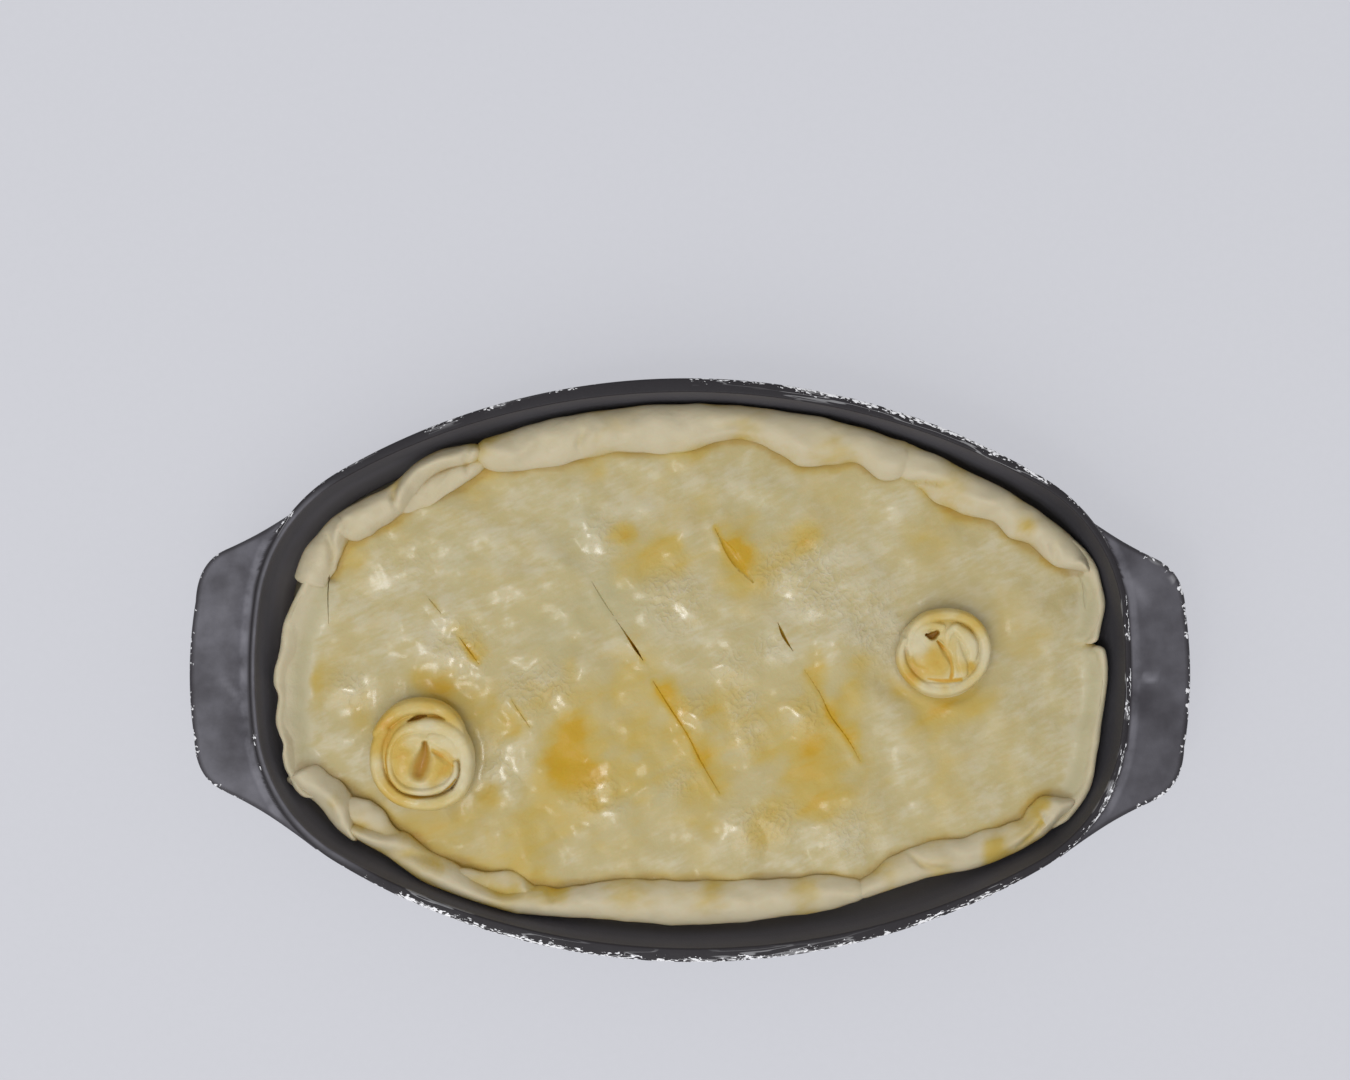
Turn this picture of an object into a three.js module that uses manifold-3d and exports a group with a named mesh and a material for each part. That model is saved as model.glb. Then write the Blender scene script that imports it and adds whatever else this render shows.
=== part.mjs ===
// A chicken pie before baking, in its own oval dish: a cast dish with two lug handles, a pie with
// a slit lid and a border folded by hand, and two roses of rolled dough.
// Millimetres, +Z up. The origin is under the middle of the dish, on its flat base.

import * as THREE from 'three';
import { mergeVertices } from 'three/addons/utils/BufferGeometryUtils.js';
import Module from 'manifold-3d';

const wasm = await Module();
wasm.setup();

const { clamp, degToRad, euclideanModulo, lerp, smoothstep } = THREE.MathUtils;

// Fineness of the facets
const RIM_STEPS = 88;
const CORNER_STEPS = 4;
const LID_RINGS = 9;
const LUG_BEVEL_STEPS = 2;
const LUG_CURVE_STEPS = 6;
const FOLD_STEP = 3.4;
const FOLD_SIDES = 10;
const SLIT_CURVE_STEPS = 5;
const ARC_STEP = 30;
const STRIP_STEP = 4;
const STRIP_SIDES = 7;
const ROSE_SIDES = 24;

// Dish: the mouth is an oval of tangent arcs, measured at the outside of the rim
const MOUTH_LENGTH = 334;
const MOUTH_WIDTH = 221;
const SIDE_RADIUS = 262;
const CORNER_RADIUS = 65.5;
const END_RADIUS = 204;
const DISH_HEIGHT = 52;
const RIM_WIDTH_SIDE = 5.2;
const RIM_WIDTH_END = 2.2;
const RIM_DEPTH = 5;
const RIM_BEVEL = 0.8;
const RIM_OVERHANG = 0.3;
const WALL = 3.5;
const WALL_DRAFT = degToRad(10);
const FLOOR = 4;
const FLOOR_CORNER = 12;

// Lug handles: flat tongues at both ends, a little under the rim
const LUG_REACH = 190;
const LUG_TOP = 50;
const LUG_THICKNESS = 5;
const LUG_BEVEL = 1.2;
const LUG_BOW = 2;
const LUG_SHIFT = -2;
const LUG_EDGE_HALF = 26;
const LUG_ROOT = new THREE.Vector2(141, 67.5);
const LUG_WAIST = new THREE.Vector2(158, 54.3);
const LUG_SHOULDER = new THREE.Vector2(177, 45.7);
const LUG_CORNER = new THREE.Vector2(187.5, 40.7);

// Pie: the lid is a low dome over lumps of filling, which are set on a golden-angle spiral
const GAP = 0.4;
const CONTACT_HEIGHT = 18;
const LID_LEVEL = 38.5;
const LID_DOME = 2.6;
const LUMP_COUNT = 46;
const LUMP_SPREAD = new THREE.Vector2(0.42 * MOUTH_LENGTH, 0.38 * MOUTH_WIDTH);
const LUMP_RADIUS = 13;
const LUMP_HEIGHT = 1.1;
const RADIUS_CHANGE = 0.3;
const RADIUS_BEAT = 2.3;
const HEIGHT_CHANGE = 0.7;
const HEIGHT_BEAT = 1.7;

// Border: every fold has a pillow shaped section that sinks into the lid
const NOSE_LIFT = 1.4;
const FOLD_SINK = 3;
const FOLD_TUCK = 1.5;
const NOTCH_INSET = 14;
const SWELL = 0.75;
const CREST = 0.5;
const END_TAPER = 7;
const END_BLUNT = 1;

// Folds of the border, in order round the rim. A place on the rim is a turn in degrees, counted
// by length from the right end towards the back. outer and inner are the fold's two edges, as
// distances in from the mouth at even steps from its first end to its last. crown is its height.
// crest is the share of its width, from the outer edge, at which it is highest, hollow the power
// that makes its inner side sag, and taper the length over which its ends are drawn in, where
// they differ from the usual ones.
const FOLDS = {
  backRightRoll: {
    from: 17,
    to: 57,
    crown: 5,
    outer: [5.6, 8.8, 10.5, 10, 9.5, 9],
    inner: [11, 21, 23, 23.5, 25, 26.5, 23],
  },
  backRoll: {
    from: 53,
    to: 126,
    crown: 5.5,
    outer: [9, 9, 9, 9.5, 10.5],
    inner: [22, 23, 28, 22, 26.5, 27.5, 27, 26.5, 22],
  },
  backLeftGusset: {
    from: 124,
    to: 142,
    crown: 2.4,
    outer: [16, 16, 16],
    inner: [21, 24.5, 26.5, 25],
  },
  backLeftRoll: {
    from: 124,
    to: 154,
    crown: 5.5,
    outer: [11, 8.5, 10, 13, 12.5, 12],
    inner: [17, 17.5, 22.5, 26, 25.5, 21.5],
  },
  leftShoulderFlap: {
    from: 150,
    to: 166,
    crown: 5,
    taper: 3,
    outer: [11.5, 11.5, 10.5, 11],
    inner: [20, 23.5, 24.5, 24],
  },
  leftOpenLip: {
    from: 163,
    to: 205,
    crown: 4.6,
    crest: 0.16,
    hollow: 2,
    outer: [13.5, 12, 10.3, 8, 6.8, 7.6, 4.8, 10],
    inner: [24, 27, 27, 26, 24.5, 22, 19, 17],
  },
  frontLeftFlap: {
    from: 198,
    to: 216,
    crown: 5.5,
    taper: 4,
    outer: [4.8, 8.6, 11.2, 9.4, 8.5],
    inner: [14, 20.5, 22.5, 21.5, 17],
  },
  frontLeftGusset: {
    from: 209,
    to: 222,
    crown: 2.6,
    outer: [13, 13, 14],
    inner: [20, 23.5, 23.5, 19],
  },
  frontRoll: {
    from: 212,
    to: 300,
    crown: 5.5,
    outer: [8.5, 8, 8, 9, 11.5, 12, 12, 12.5, 13, 13],
    inner: [14, 20, 19, 21, 19.5, 25, 28.5, 29, 29, 27.5, 26.5, 21],
  },
  frontRightRoll: {
    from: 297,
    to: 338,
    crown: 5,
    outer: [13, 14, 12, 9, 7, 6.5, 6.5],
    inner: [20, 25, 26.5, 25, 22, 19.5, 18, 20, 11],
  },
  rightLowerEdge: {
    from: 331,
    to: 364.3,
    crown: 2.4,
    crest: 0.3,
    outer: [7, 4.5, 5, 7.2, 7.8, 7, 6.5, 7.5],
    inner: [13, 13, 13, 14, 15, 13.5, 13, 14],
  },
  rightUpperEdge: {
    from: 364.7,
    to: 384,
    crown: 2.8,
    crest: 0.3,
    outer: [10.5, 6.3, 5.5, 5.6, 8],
    inner: [16.5, 14, 13, 12.5, 14],
  },
};

// Slits through the lid, from end to end, with the width of their widest part
const SLIT_DEPTH = 4;
const SLIT_CLEAR = 12;
const SLITS = [
  { from: [-101, 25], to: [-61, -29], width: 1.0 },
  { from: [-45, 42], to: [15, -51], width: 1.5 },
  { from: [9, 53], to: [70, -42], width: 1.3 },
  { from: [10, 52], to: [24, 33], width: 4.5 },
];

// Roses: strips of dough set on edge, each along a curve in plan about the rose's middle
const ROSES = [
  {
    name: 'rose_left',
    place: [-102, -33.5],
    reach: 20.4,
    strips: [
      { path: arcPath([0, 0], [17.4, 16.8], [60, 415]), thickness: 6.4, height: 8.5 },
      { path: arcPath([0.6, -1.2], [10.6, 10], [40, 385]), thickness: 5.2, height: 10.8 },
      { path: arcPath([-1, -1], [4.6, 4.4], [100, 255]), thickness: 4.4, height: 9.2 },
      { path: arcPath([1.6, -1.6], [4.4, 4.2], [-95, 70]), thickness: 4, height: 9.2 },
    ],
  },
  {
    name: 'rose_right',
    place: [96.5, 7],
    reach: 18.4,
    strips: [
      { path: arcPath([0, 0], [15.8, 15.2], [150, 505]), thickness: 5.4, height: 8.5 },
      { path: [[-2, 5], [-8, 3], [-9, -3], [-5, -7], [0.5, -4.5]], thickness: 6.6, height: 10.8 },
      { path: [[1.8, 2], [2.6, 7], [4.5, 9.2]], thickness: 3.2, height: 10.4 },
      { path: [[4.5, 9.2], [8.6, 7], [10.4, 1], [9.6, -3]], thickness: 3.8, height: 11 },
      { path: [[4.8, 4.5], [5.6, -1.5], [6.4, -7.5]], thickness: 4.2, height: 10 },
    ],
  },
];
const ROSE_BASE = 4;
const ROSE_BASE_INSET = 2;
const ROSE_BASE_TAPER = 1;
const ROSE_RISE = 0.8;
const STRIP_FOOT = 1;
const STRIP_LEAN = 1;
const STRIP_TIP = 0.5;

// The oval mouth

// Centre of the corner arc, which touches the side arc and the end arc from inside
function touchingCentre(first, firstDistance, second, secondDistance) {
  const apart = first.distanceTo(second);
  const along = (apart ** 2 + firstDistance ** 2 - secondDistance ** 2) / (2 * apart);
  const across = Math.sqrt(firstDistance ** 2 - along ** 2);
  const line = second.clone().sub(first).normalize();
  const square = new THREE.Vector2(-line.y, line.x);
  return first.clone().addScaledVector(line, along).addScaledVector(square, across);
}

const sideCentre = new THREE.Vector2(0, MOUTH_WIDTH / 2 - SIDE_RADIUS);
const endCentre = new THREE.Vector2(MOUTH_LENGTH / 2 - END_RADIUS, 0);
const cornerCentre = touchingCentre(
  endCentre,
  END_RADIUS - CORNER_RADIUS,
  sideCentre,
  SIDE_RADIUS - CORNER_RADIUS,
);
const endAngle = cornerCentre.clone().sub(endCentre).angle();
const sideAngle = cornerCentre.clone().sub(sideCentre).angle();

// The arcs of one quarter, from the right end to the middle of the back
const quarterArcs = [
  { centre: endCentre, radius: END_RADIUS, from: 0, to: endAngle },
  { centre: cornerCentre, radius: CORNER_RADIUS, from: endAngle, to: sideAngle },
  { centre: sideCentre, radius: SIDE_RADIUS, from: sideAngle, to: Math.PI / 2 },
];
let quarterLength = 0;
for (const arc of quarterArcs) {
  arc.start = quarterLength;
  quarterLength += arc.radius * (arc.to - arc.from);
  arc.end = quarterLength;
}
const degreeLength = quarterLength / 90;

// Point at a turn along the rim, moved in from the mouth's outline
function mouthPoint(turn, inset) {
  const quarters = euclideanModulo(turn, 360) / 90;
  const quarter = Math.floor(quarters);
  const share = quarter % 2 === 0 ? quarters - quarter : quarter + 1 - quarters;
  const along = share * quarterLength;
  const arc = quarterArcs.find((each) => along <= each.end) ?? quarterArcs.at(-1);
  const normal = arc.from + (along - arc.start) / arc.radius;
  const x = arc.centre.x + (arc.radius - inset) * Math.cos(normal);
  const y = arc.centre.y + (arc.radius - inset) * Math.sin(normal);
  const rightHalf = quarter === 0 || quarter === 3;
  return new THREE.Vector2(rightHalf ? x : -x, quarter < 2 ? y : -y);
}

// Ring of points round the dish at one height, where inset is a distance or a function of the turn
function mouthRing(inset, height) {
  const insetAt = typeof inset === 'function' ? inset : () => inset;
  return Array.from({ length: RIM_STEPS }, (_, step) => {
    const turn = (360 * step) / RIM_STEPS;
    const point = mouthPoint(turn, insetAt(turn));
    return new THREE.Vector3(point.x, point.y, height);
  });
}

// Solids

// Closed solid through a row of rings with the same number of points, with both ends capped
function solidFromRings(rings) {
  const sides = rings[0].length;
  const points = rings.flat();
  const faces = [];
  for (let ring = 0; ring < rings.length - 1; ring += 1) {
    for (let side = 0; side < sides; side += 1) {
      const next = (side + 1) % sides;
      const a = ring * sides + side;
      const b = ring * sides + next;
      faces.push([a, b, b + sides], [a, b + sides, a + sides]);
    }
  }
  const firstCap = points.push(middleOf(rings[0])) - 1;
  const lastCap = points.push(middleOf(rings.at(-1))) - 1;
  const lastRing = (rings.length - 1) * sides;
  for (let side = 0; side < sides; side += 1) {
    const next = (side + 1) % sides;
    faces.push([firstCap, next, side], [lastCap, lastRing + side, lastRing + next]);
  }
  const outward = signedVolume(points, faces) > 0;
  const geometry = new THREE.BufferGeometry().setFromPoints(points);
  geometry.setIndex(faces.flatMap(([a, b, c]) => (outward ? [a, b, c] : [a, c, b])));
  return toManifold(geometry);
}

function middleOf(ring) {
  const middle = new THREE.Vector3();
  ring.forEach((point) => middle.add(point));
  return middle.divideScalar(ring.length);
}

function signedVolume(points, faces) {
  const normal = new THREE.Vector3();
  return faces.reduce((sum, [a, b, c]) => {
    normal.crossVectors(points[b], points[c]);
    return sum + points[a].dot(normal) / 6;
  }, 0);
}

function toManifold(geometry) {
  geometry.deleteAttribute('normal');
  geometry.deleteAttribute('uv');
  const merged = mergeVertices(geometry);
  const vertProperties = new Float32Array(merged.attributes.position.array);
  const triVerts = new Uint32Array(merged.index.array);
  return new wasm.Manifold(new wasm.Mesh({ numProp: 3, vertProperties, triVerts }));
}

// Outer skin of a joined solid: pockets that its pieces seal between them are filled
function withoutPockets(solid) {
  const skins = solid.decompose();
  return skins.reduce((largest, skin) => (skin.volume() > largest.volume() ? skin : largest));
}

function toMesh(name, solid, material) {
  const { vertProperties, triVerts } = solid.getMesh();
  const geometry = new THREE.BufferGeometry();
  geometry.setAttribute('position', new THREE.BufferAttribute(vertProperties, 3));
  geometry.setIndex(new THREE.BufferAttribute(triVerts, 1));
  geometry.computeVertexNormals();
  const mesh = new THREE.Mesh(geometry, material);
  mesh.name = name;
  return mesh;
}

// Smooth curve through evenly spaced values, read at a share from 0 to 1
function valueAlong(values, share) {
  const curve = new THREE.SplineCurve(values.map((value, index) => new THREE.Vector2(index, value)));
  return curve.getPoint(clamp(share, 0, 1)).y;
}

// Dish

// Width of the rim, which narrows from the long sides to the ends
function rimWidth(turn) {
  return lerp(RIM_WIDTH_END, RIM_WIDTH_SIDE, Math.sin(degToRad(turn)) ** 2);
}

// Distance of the inside of the wall from the mouth's outline, at a height and a turn
function wallInset(height, turn) {
  return rimWidth(turn) + (DISH_HEIGHT - height) * Math.tan(WALL_DRAFT);
}

// Rings of the rounded foot of a wall, from its flat bottom up to where the straight wall starts
function footRings(bottom, radius, wallOffset) {
  const straightFrom = bottom + radius * (1 - Math.sin(WALL_DRAFT));
  const sweep = Math.PI / 2 - WALL_DRAFT;
  return Array.from({ length: CORNER_STEPS + 1 }, (_, step) => {
    const angle = (sweep * step) / CORNER_STEPS;
    const inward = wallOffset + radius * (Math.cos(WALL_DRAFT) - Math.sin(angle));
    const height = bottom + radius * (1 - Math.cos(angle));
    return mouthRing((turn) => wallInset(straightFrom, turn) + inward, height);
  });
}

// One lug, reaching from the middle of the dish so that it is whole before the hollow is cut
function lugSolid(bearing) {
  const outline = new THREE.Shape();
  outline.moveTo(0, -LUG_ROOT.y);
  outline.lineTo(LUG_ROOT.x, -LUG_ROOT.y);
  outline.quadraticCurveTo(LUG_WAIST.x, -LUG_WAIST.y, LUG_SHOULDER.x, -LUG_SHOULDER.y);
  outline.quadraticCurveTo(LUG_CORNER.x, -LUG_CORNER.y, LUG_REACH - LUG_BOW, -LUG_EDGE_HALF);
  outline.quadraticCurveTo(LUG_REACH + LUG_BOW, 0, LUG_REACH - LUG_BOW, LUG_EDGE_HALF);
  outline.quadraticCurveTo(LUG_CORNER.x, LUG_CORNER.y, LUG_SHOULDER.x, LUG_SHOULDER.y);
  outline.quadraticCurveTo(LUG_WAIST.x, LUG_WAIST.y, LUG_ROOT.x, LUG_ROOT.y);
  outline.lineTo(0, LUG_ROOT.y);
  const lug = new THREE.ExtrudeGeometry(outline, {
    depth: LUG_THICKNESS - 2 * LUG_BEVEL,
    bevelThickness: LUG_BEVEL,
    bevelSize: LUG_BEVEL,
    bevelOffset: -LUG_BEVEL,
    bevelSegments: LUG_BEVEL_STEPS,
    curveSegments: LUG_CURVE_STEPS,
  });
  lug.rotateZ(bearing);
  lug.translate(0, LUG_SHIFT, LUG_TOP - LUG_THICKNESS + LUG_BEVEL);
  return toManifold(lug);
}

function dishSolid() {
  const wallSlant = WALL / Math.cos(WALL_DRAFT);
  const rimUnderside = DISH_HEIGHT - RIM_DEPTH;
  const underRim = (turn) => Math.max(wallInset(rimUnderside, turn) - wallSlant, RIM_OVERHANG);
  const block = solidFromRings([
    ...footRings(0, FLOOR_CORNER + WALL, -wallSlant),
    mouthRing(underRim, rimUnderside),
    mouthRing(0, rimUnderside + RIM_BEVEL),
    mouthRing(0, DISH_HEIGHT - RIM_BEVEL),
    mouthRing(RIM_BEVEL, DISH_HEIGHT),
  ]);
  const wallTop = DISH_HEIGHT - RIM_BEVEL;
  const aboveRim = DISH_HEIGHT + RIM_DEPTH;
  const hollow = solidFromRings([
    ...footRings(FLOOR, FLOOR_CORNER, 0),
    mouthRing((turn) => wallInset(wallTop, turn), wallTop),
    mouthRing((turn) => rimWidth(turn) - RIM_BEVEL, DISH_HEIGHT),
    mouthRing((turn) => rimWidth(turn) - RIM_BEVEL, aboveRim),
  ]);
  return block.add(lugSolid(0)).add(lugSolid(Math.PI)).subtract(hollow);
}

// Pie

const lumps = Array.from({ length: LUMP_COUNT }, (_, index) => {
  const goldenTurn = Math.PI * (3 - Math.sqrt(5));
  const spread = Math.sqrt((index + 0.5) / LUMP_COUNT);
  return {
    x: LUMP_SPREAD.x * spread * Math.cos(index * goldenTurn),
    y: LUMP_SPREAD.y * spread * Math.sin(index * goldenTurn),
    radius: LUMP_RADIUS * (1 + RADIUS_CHANGE * Math.sin(RADIUS_BEAT * index)),
    height: LUMP_HEIGHT * (1 + HEIGHT_CHANGE * Math.sin(HEIGHT_BEAT * index)),
  };
});

function domeHeight(x, y) {
  const fall = (2 * x / MOUTH_LENGTH) ** 2 + (2 * y / MOUTH_WIDTH) ** 2;
  return LID_LEVEL + LID_DOME * Math.max(0, 1 - fall);
}

function seatHeight({ place }) {
  return domeHeight(...place) + ROSE_RISE;
}

// Height of the lid: a low dome over the lumps of the filling, level under each rose
function lidHeight(x, y) {
  let height = domeHeight(x, y);
  for (const lump of lumps) {
    const distance = Math.hypot(x - lump.x, y - lump.y) / lump.radius;
    height += lump.height * Math.exp(-(distance ** 2));
  }
  for (const rose of ROSES) {
    const distance = Math.hypot(x - rose.place[0], y - rose.place[1]);
    const freedom = smoothstep(distance, rose.reach, rose.reach + LUMP_RADIUS);
    height = lerp(seatHeight(rose), height, freedom);
  }
  return height;
}

function shareOf(fold, turn) {
  return (turn - fold.from) / (fold.to - fold.from);
}

// Insets of a fold's two edges, with its nose kept clear of the wall
function foldEdges(fold, share) {
  const clear = wallInset(LID_LEVEL + NOSE_LIFT, lerp(fold.from, fold.to, share)) + GAP;
  return {
    outer: Math.max(valueAlong(fold.outer, share), clear),
    inner: valueAlong(fold.inner, share),
  };
}

// Edge of the dough sheet under the border, tucked just behind the outermost fold there
function sheetInset(turn) {
  let inset = NOTCH_INSET;
  for (const fold of Object.values(FOLDS)) {
    for (const place of [turn, turn + 360]) {
      const share = shareOf(fold, place);
      if (share >= 0 && share <= 1) {
        inset = Math.min(inset, foldEdges(fold, share).outer);
      }
    }
  }
  return inset + FOLD_TUCK;
}

// One fold: a pillow shaped section carried along the rim, drawn in at both ends
function foldSolid(fold) {
  const steps = Math.ceil((fold.to - fold.from) / FOLD_STEP);
  const length = (fold.to - fold.from) * degreeLength;
  const taper = fold.taper ?? END_TAPER;
  const rings = [];
  for (let step = 0; step <= steps; step += 1) {
    const share = step / steps;
    const { outer, inner } = foldEdges(fold, share);
    const toEnd = Math.min(share, 1 - share) * length + END_BLUNT;
    const fullness = Math.sqrt(1 - (1 - Math.min(1, toEnd / taper)) ** 2);
    rings.push(foldRing(fold, lerp(fold.from, fold.to, share), outer, inner, fullness));
  }
  return solidFromRings(rings);
}

function foldRing(fold, turn, outer, inner, fullness) {
  const middle = (outer + inner) / 2;
  const half = ((inner - outer) / 2) * fullness;
  const seat = mouthPoint(turn, middle);
  const base = lidHeight(seat.x, seat.y) + NOSE_LIFT;
  return Array.from({ length: FOLD_SIDES }, (_, side) => {
    const angle = (2 * Math.PI * side) / FOLD_SIDES;
    const point = mouthPoint(turn, middle - half * Math.cos(angle));
    const rise = Math.sin(angle) > 0 ? crownAt(fold, angle) * fullness : -FOLD_SINK * bulge(angle);
    return new THREE.Vector3(point.x, point.y, base + rise);
  });
}

// Round swell of the section, a little fuller than a half circle
function bulge(angle) {
  return Math.abs(Math.sin(angle)) ** SWELL;
}

// Height of the fold's upper side, with its top moved to the crest and its inner side hollowed
function crownAt({ crown, crest = CREST, hollow = 1 }, angle) {
  const across = (1 - Math.cos(angle)) / 2;
  const moved = across ** (Math.log(0.5) / Math.log(crest));
  const rise = bulge(Math.PI * moved);
  return crown * (moved > 0.5 ? rise ** hollow : rise);
}

// The pie without its border: it fills the dish up to the contact height and leaves the wall above
function bodySolid() {
  const foot = footRings(FLOOR + GAP, FLOOR_CORNER, GAP);
  const contact = mouthRing((turn) => wallInset(CONTACT_HEIGHT, turn) + GAP, CONTACT_HEIGHT);
  const edge = mouthRing(sheetInset, LID_LEVEL);
  const lid = Array.from({ length: LID_RINGS + 1 }, (_, ring) => {
    const scale = 1 - ring / (LID_RINGS + 1);
    return edge.map((point) => {
      const x = point.x * scale;
      const y = point.y * scale;
      return new THREE.Vector3(x, y, lidHeight(x, y));
    });
  });
  return solidFromRings([...foot, contact, ...lid]);
}

// Knife cut: a thin lens in plan, sunk into the lid
function slitSolid({ from, to, width }) {
  const start = new THREE.Vector2(...from);
  const end = new THREE.Vector2(...to);
  const middle = start.clone().add(end).divideScalar(2);
  const across = end.clone().sub(start).normalize().rotateAround(new THREE.Vector2(), Math.PI / 2);
  const left = middle.clone().addScaledVector(across, width);
  const right = middle.clone().addScaledVector(across, -width);
  const lens = new THREE.Shape();
  lens.moveTo(start.x, start.y);
  lens.quadraticCurveTo(right.x, right.y, end.x, end.y);
  lens.quadraticCurveTo(left.x, left.y, start.x, start.y);
  const cut = new THREE.ExtrudeGeometry(lens, {
    depth: SLIT_DEPTH + SLIT_CLEAR,
    bevelEnabled: false,
    curveSegments: SLIT_CURVE_STEPS,
  });
  cut.translate(0, 0, lidHeight(middle.x, middle.y) - SLIT_DEPTH);
  return toManifold(cut);
}

function pieSolid() {
  const folded = Object.values(FOLDS).reduce((pie, fold) => pie.add(foldSolid(fold)), bodySolid());
  const cut = SLITS.reduce((pie, slit) => pie.subtract(slitSolid(slit)), folded);
  return withoutPockets(cut);
}

// Roses

// Points on an arc in plan whose radius and bearing change evenly from start to end
function arcPath(centre, [fromRadius, toRadius], [fromBearing, toBearing]) {
  const pointCount = Math.ceil((toBearing - fromBearing) / ARC_STEP) + 1;
  return Array.from({ length: pointCount }, (_, index) => {
    const share = index / (pointCount - 1);
    const radius = lerp(fromRadius, toRadius, share);
    const bearing = degToRad(lerp(fromBearing, toBearing, share));
    return [centre[0] + radius * Math.cos(bearing), centre[1] + radius * Math.sin(bearing)];
  });
}

// One strip of dough on edge, leaning away from the rose's middle and drawn in at both ends
function stripSolid({ path, thickness, height: top }) {
  const curve = new THREE.SplineCurve(path.map(([x, y]) => new THREE.Vector2(x, y)));
  const steps = Math.ceil(curve.getLength() / STRIP_STEP);
  const half = (top - STRIP_FOOT) / 2;
  const rings = Array.from({ length: steps + 1 }, (_, step) => {
    const point = curve.getPointAt(step / steps);
    const heading = curve.getTangentAt(step / steps);
    const across = new THREE.Vector2(heading.y, -heading.x);
    const outward = Math.sign(across.dot(point)) || 1;
    const fullness = step === 0 || step === steps ? STRIP_TIP : 1;
    return Array.from({ length: STRIP_SIDES }, (_unused, side) => {
      const angle = (2 * Math.PI * (side + 0.5)) / STRIP_SIDES;
      const lean = outward * STRIP_LEAN * Math.sin(angle);
      const shift = (thickness / 2) * fullness * Math.cos(angle) + lean;
      const place = point.clone().addScaledVector(across, shift);
      const height = STRIP_FOOT + half * (1 + fullness * Math.sin(angle));
      return new THREE.Vector3(place.x, place.y, height);
    });
  });
  return solidFromRings(rings);
}

function roseSolid(rose) {
  const footRadius = rose.reach - ROSE_BASE_INSET;
  const topRadius = footRadius - ROSE_BASE_TAPER;
  const base = new THREE.CylinderGeometry(topRadius, footRadius, ROSE_BASE, ROSE_SIDES);
  base.rotateX(Math.PI / 2);
  base.translate(0, 0, ROSE_BASE / 2);
  const rolled = rose.strips.reduce((whole, strip) => whole.add(stripSolid(strip)), toManifold(base));
  return withoutPockets(rolled);
}

// The whole

const castMetal = new THREE.MeshStandardMaterial({ color: 0x4b494d, roughness: 0.5, metalness: 0.6 });
const washedDough = new THREE.MeshStandardMaterial({ color: 0xd8c894, roughness: 0.35, metalness: 0 });
const rolledDough = new THREE.MeshStandardMaterial({ color: 0xdcc382, roughness: 0.4, metalness: 0 });

const group = new THREE.Group();
group.add(toMesh('dish', dishSolid(), castMetal));
group.add(toMesh('pie', pieSolid(), washedDough));
for (const rose of ROSES) {
  const mesh = toMesh(rose.name, roseSolid(rose), rolledDough.clone());
  mesh.position.set(...rose.place, seatHeight(rose) + GAP);
  group.add(mesh);
}

export default group;
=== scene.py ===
"""Looks of a chicken pie before baking, in its own oval dish with two lug handles.

Shapes are worked out in millimetres, in the frame of the packed model, and become metres when a
mesh is made. A place on the dish's rim is a turn in degrees, counted by length from the right end
towards the back, and an inset, the distance in from the outline of the mouth.
"""

import math

import bpy
import numpy as np
from bpy.props import FloatProperty, FloatVectorProperty, PointerProperty
from mathutils import Matrix, Vector, noise


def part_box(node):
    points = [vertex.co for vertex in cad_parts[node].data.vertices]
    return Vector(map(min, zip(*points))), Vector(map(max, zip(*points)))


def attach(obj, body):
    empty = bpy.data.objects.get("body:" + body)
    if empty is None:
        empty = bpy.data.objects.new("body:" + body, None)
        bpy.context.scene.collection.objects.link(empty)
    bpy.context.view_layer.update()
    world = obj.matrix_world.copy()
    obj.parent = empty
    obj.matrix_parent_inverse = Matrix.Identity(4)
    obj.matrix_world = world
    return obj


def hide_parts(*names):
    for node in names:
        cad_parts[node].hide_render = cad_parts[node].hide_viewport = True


bl_info = {
    "name": "Chicken Pie",
    "version": (1, 0, 0),
    "blender": (4, 5, 0),
    "location": "View3D > Sidebar > Pie",
    "description": "Dresses the packed solids of a raw, egg-washed pie in its oval dish",
    "category": "Object",
}

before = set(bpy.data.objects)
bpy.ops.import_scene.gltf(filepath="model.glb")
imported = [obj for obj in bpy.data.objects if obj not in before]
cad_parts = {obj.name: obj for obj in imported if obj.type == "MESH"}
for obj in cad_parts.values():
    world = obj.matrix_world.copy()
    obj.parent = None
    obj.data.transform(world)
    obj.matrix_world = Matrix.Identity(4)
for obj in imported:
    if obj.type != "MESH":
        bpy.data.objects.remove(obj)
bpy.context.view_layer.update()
MM = 0.001


def in_mm(metres):
    return np.asarray(metres, float) / MM


def node_box(node):
    """Lowest and highest corner of a packed node, in millimetres."""
    low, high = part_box(node)
    return in_mm(low), in_mm(high)


def seen_colour(red, green, blue):
    """Linear colour of a tint given as it looks on a screen, from 0 to 255."""
    shares = np.array([red, green, blue]) / 255
    return tuple(np.where(shares < 0.04045, shares / 12.92, ((shares + 0.055) / 1.055) ** 2.4))


# Arcs of the mouth and the sections of the dish, as in the solids
SIDE_RADIUS = 262
CORNER_RADIUS = 65.5
END_RADIUS = 204
RIM_WIDTH_SIDE = 5.2
RIM_WIDTH_END = 2.2
RIM_DEPTH = 5
RIM_ROUND = 0.8
RIM_OVERHANG = 0.3
WALL = 3.5
WALL_DRAFT = math.radians(10)
FLOOR = 4
FLOOR_CORNER = 12
# Depths under the top of the rim where the inside of the wall has a ring of points
WALL_TOP_DROPS = (10, 3, 2)
# Steps round the rim, round the foot of a wall and round an edge, with the angles of a round edge
RIM_STEPS = 900
CORNER_STEPS = 10
ROUND_STEPS = 5
QUARTER_TURN = np.linspace(0, math.pi / 2, ROUND_STEPS + 1)

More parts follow.
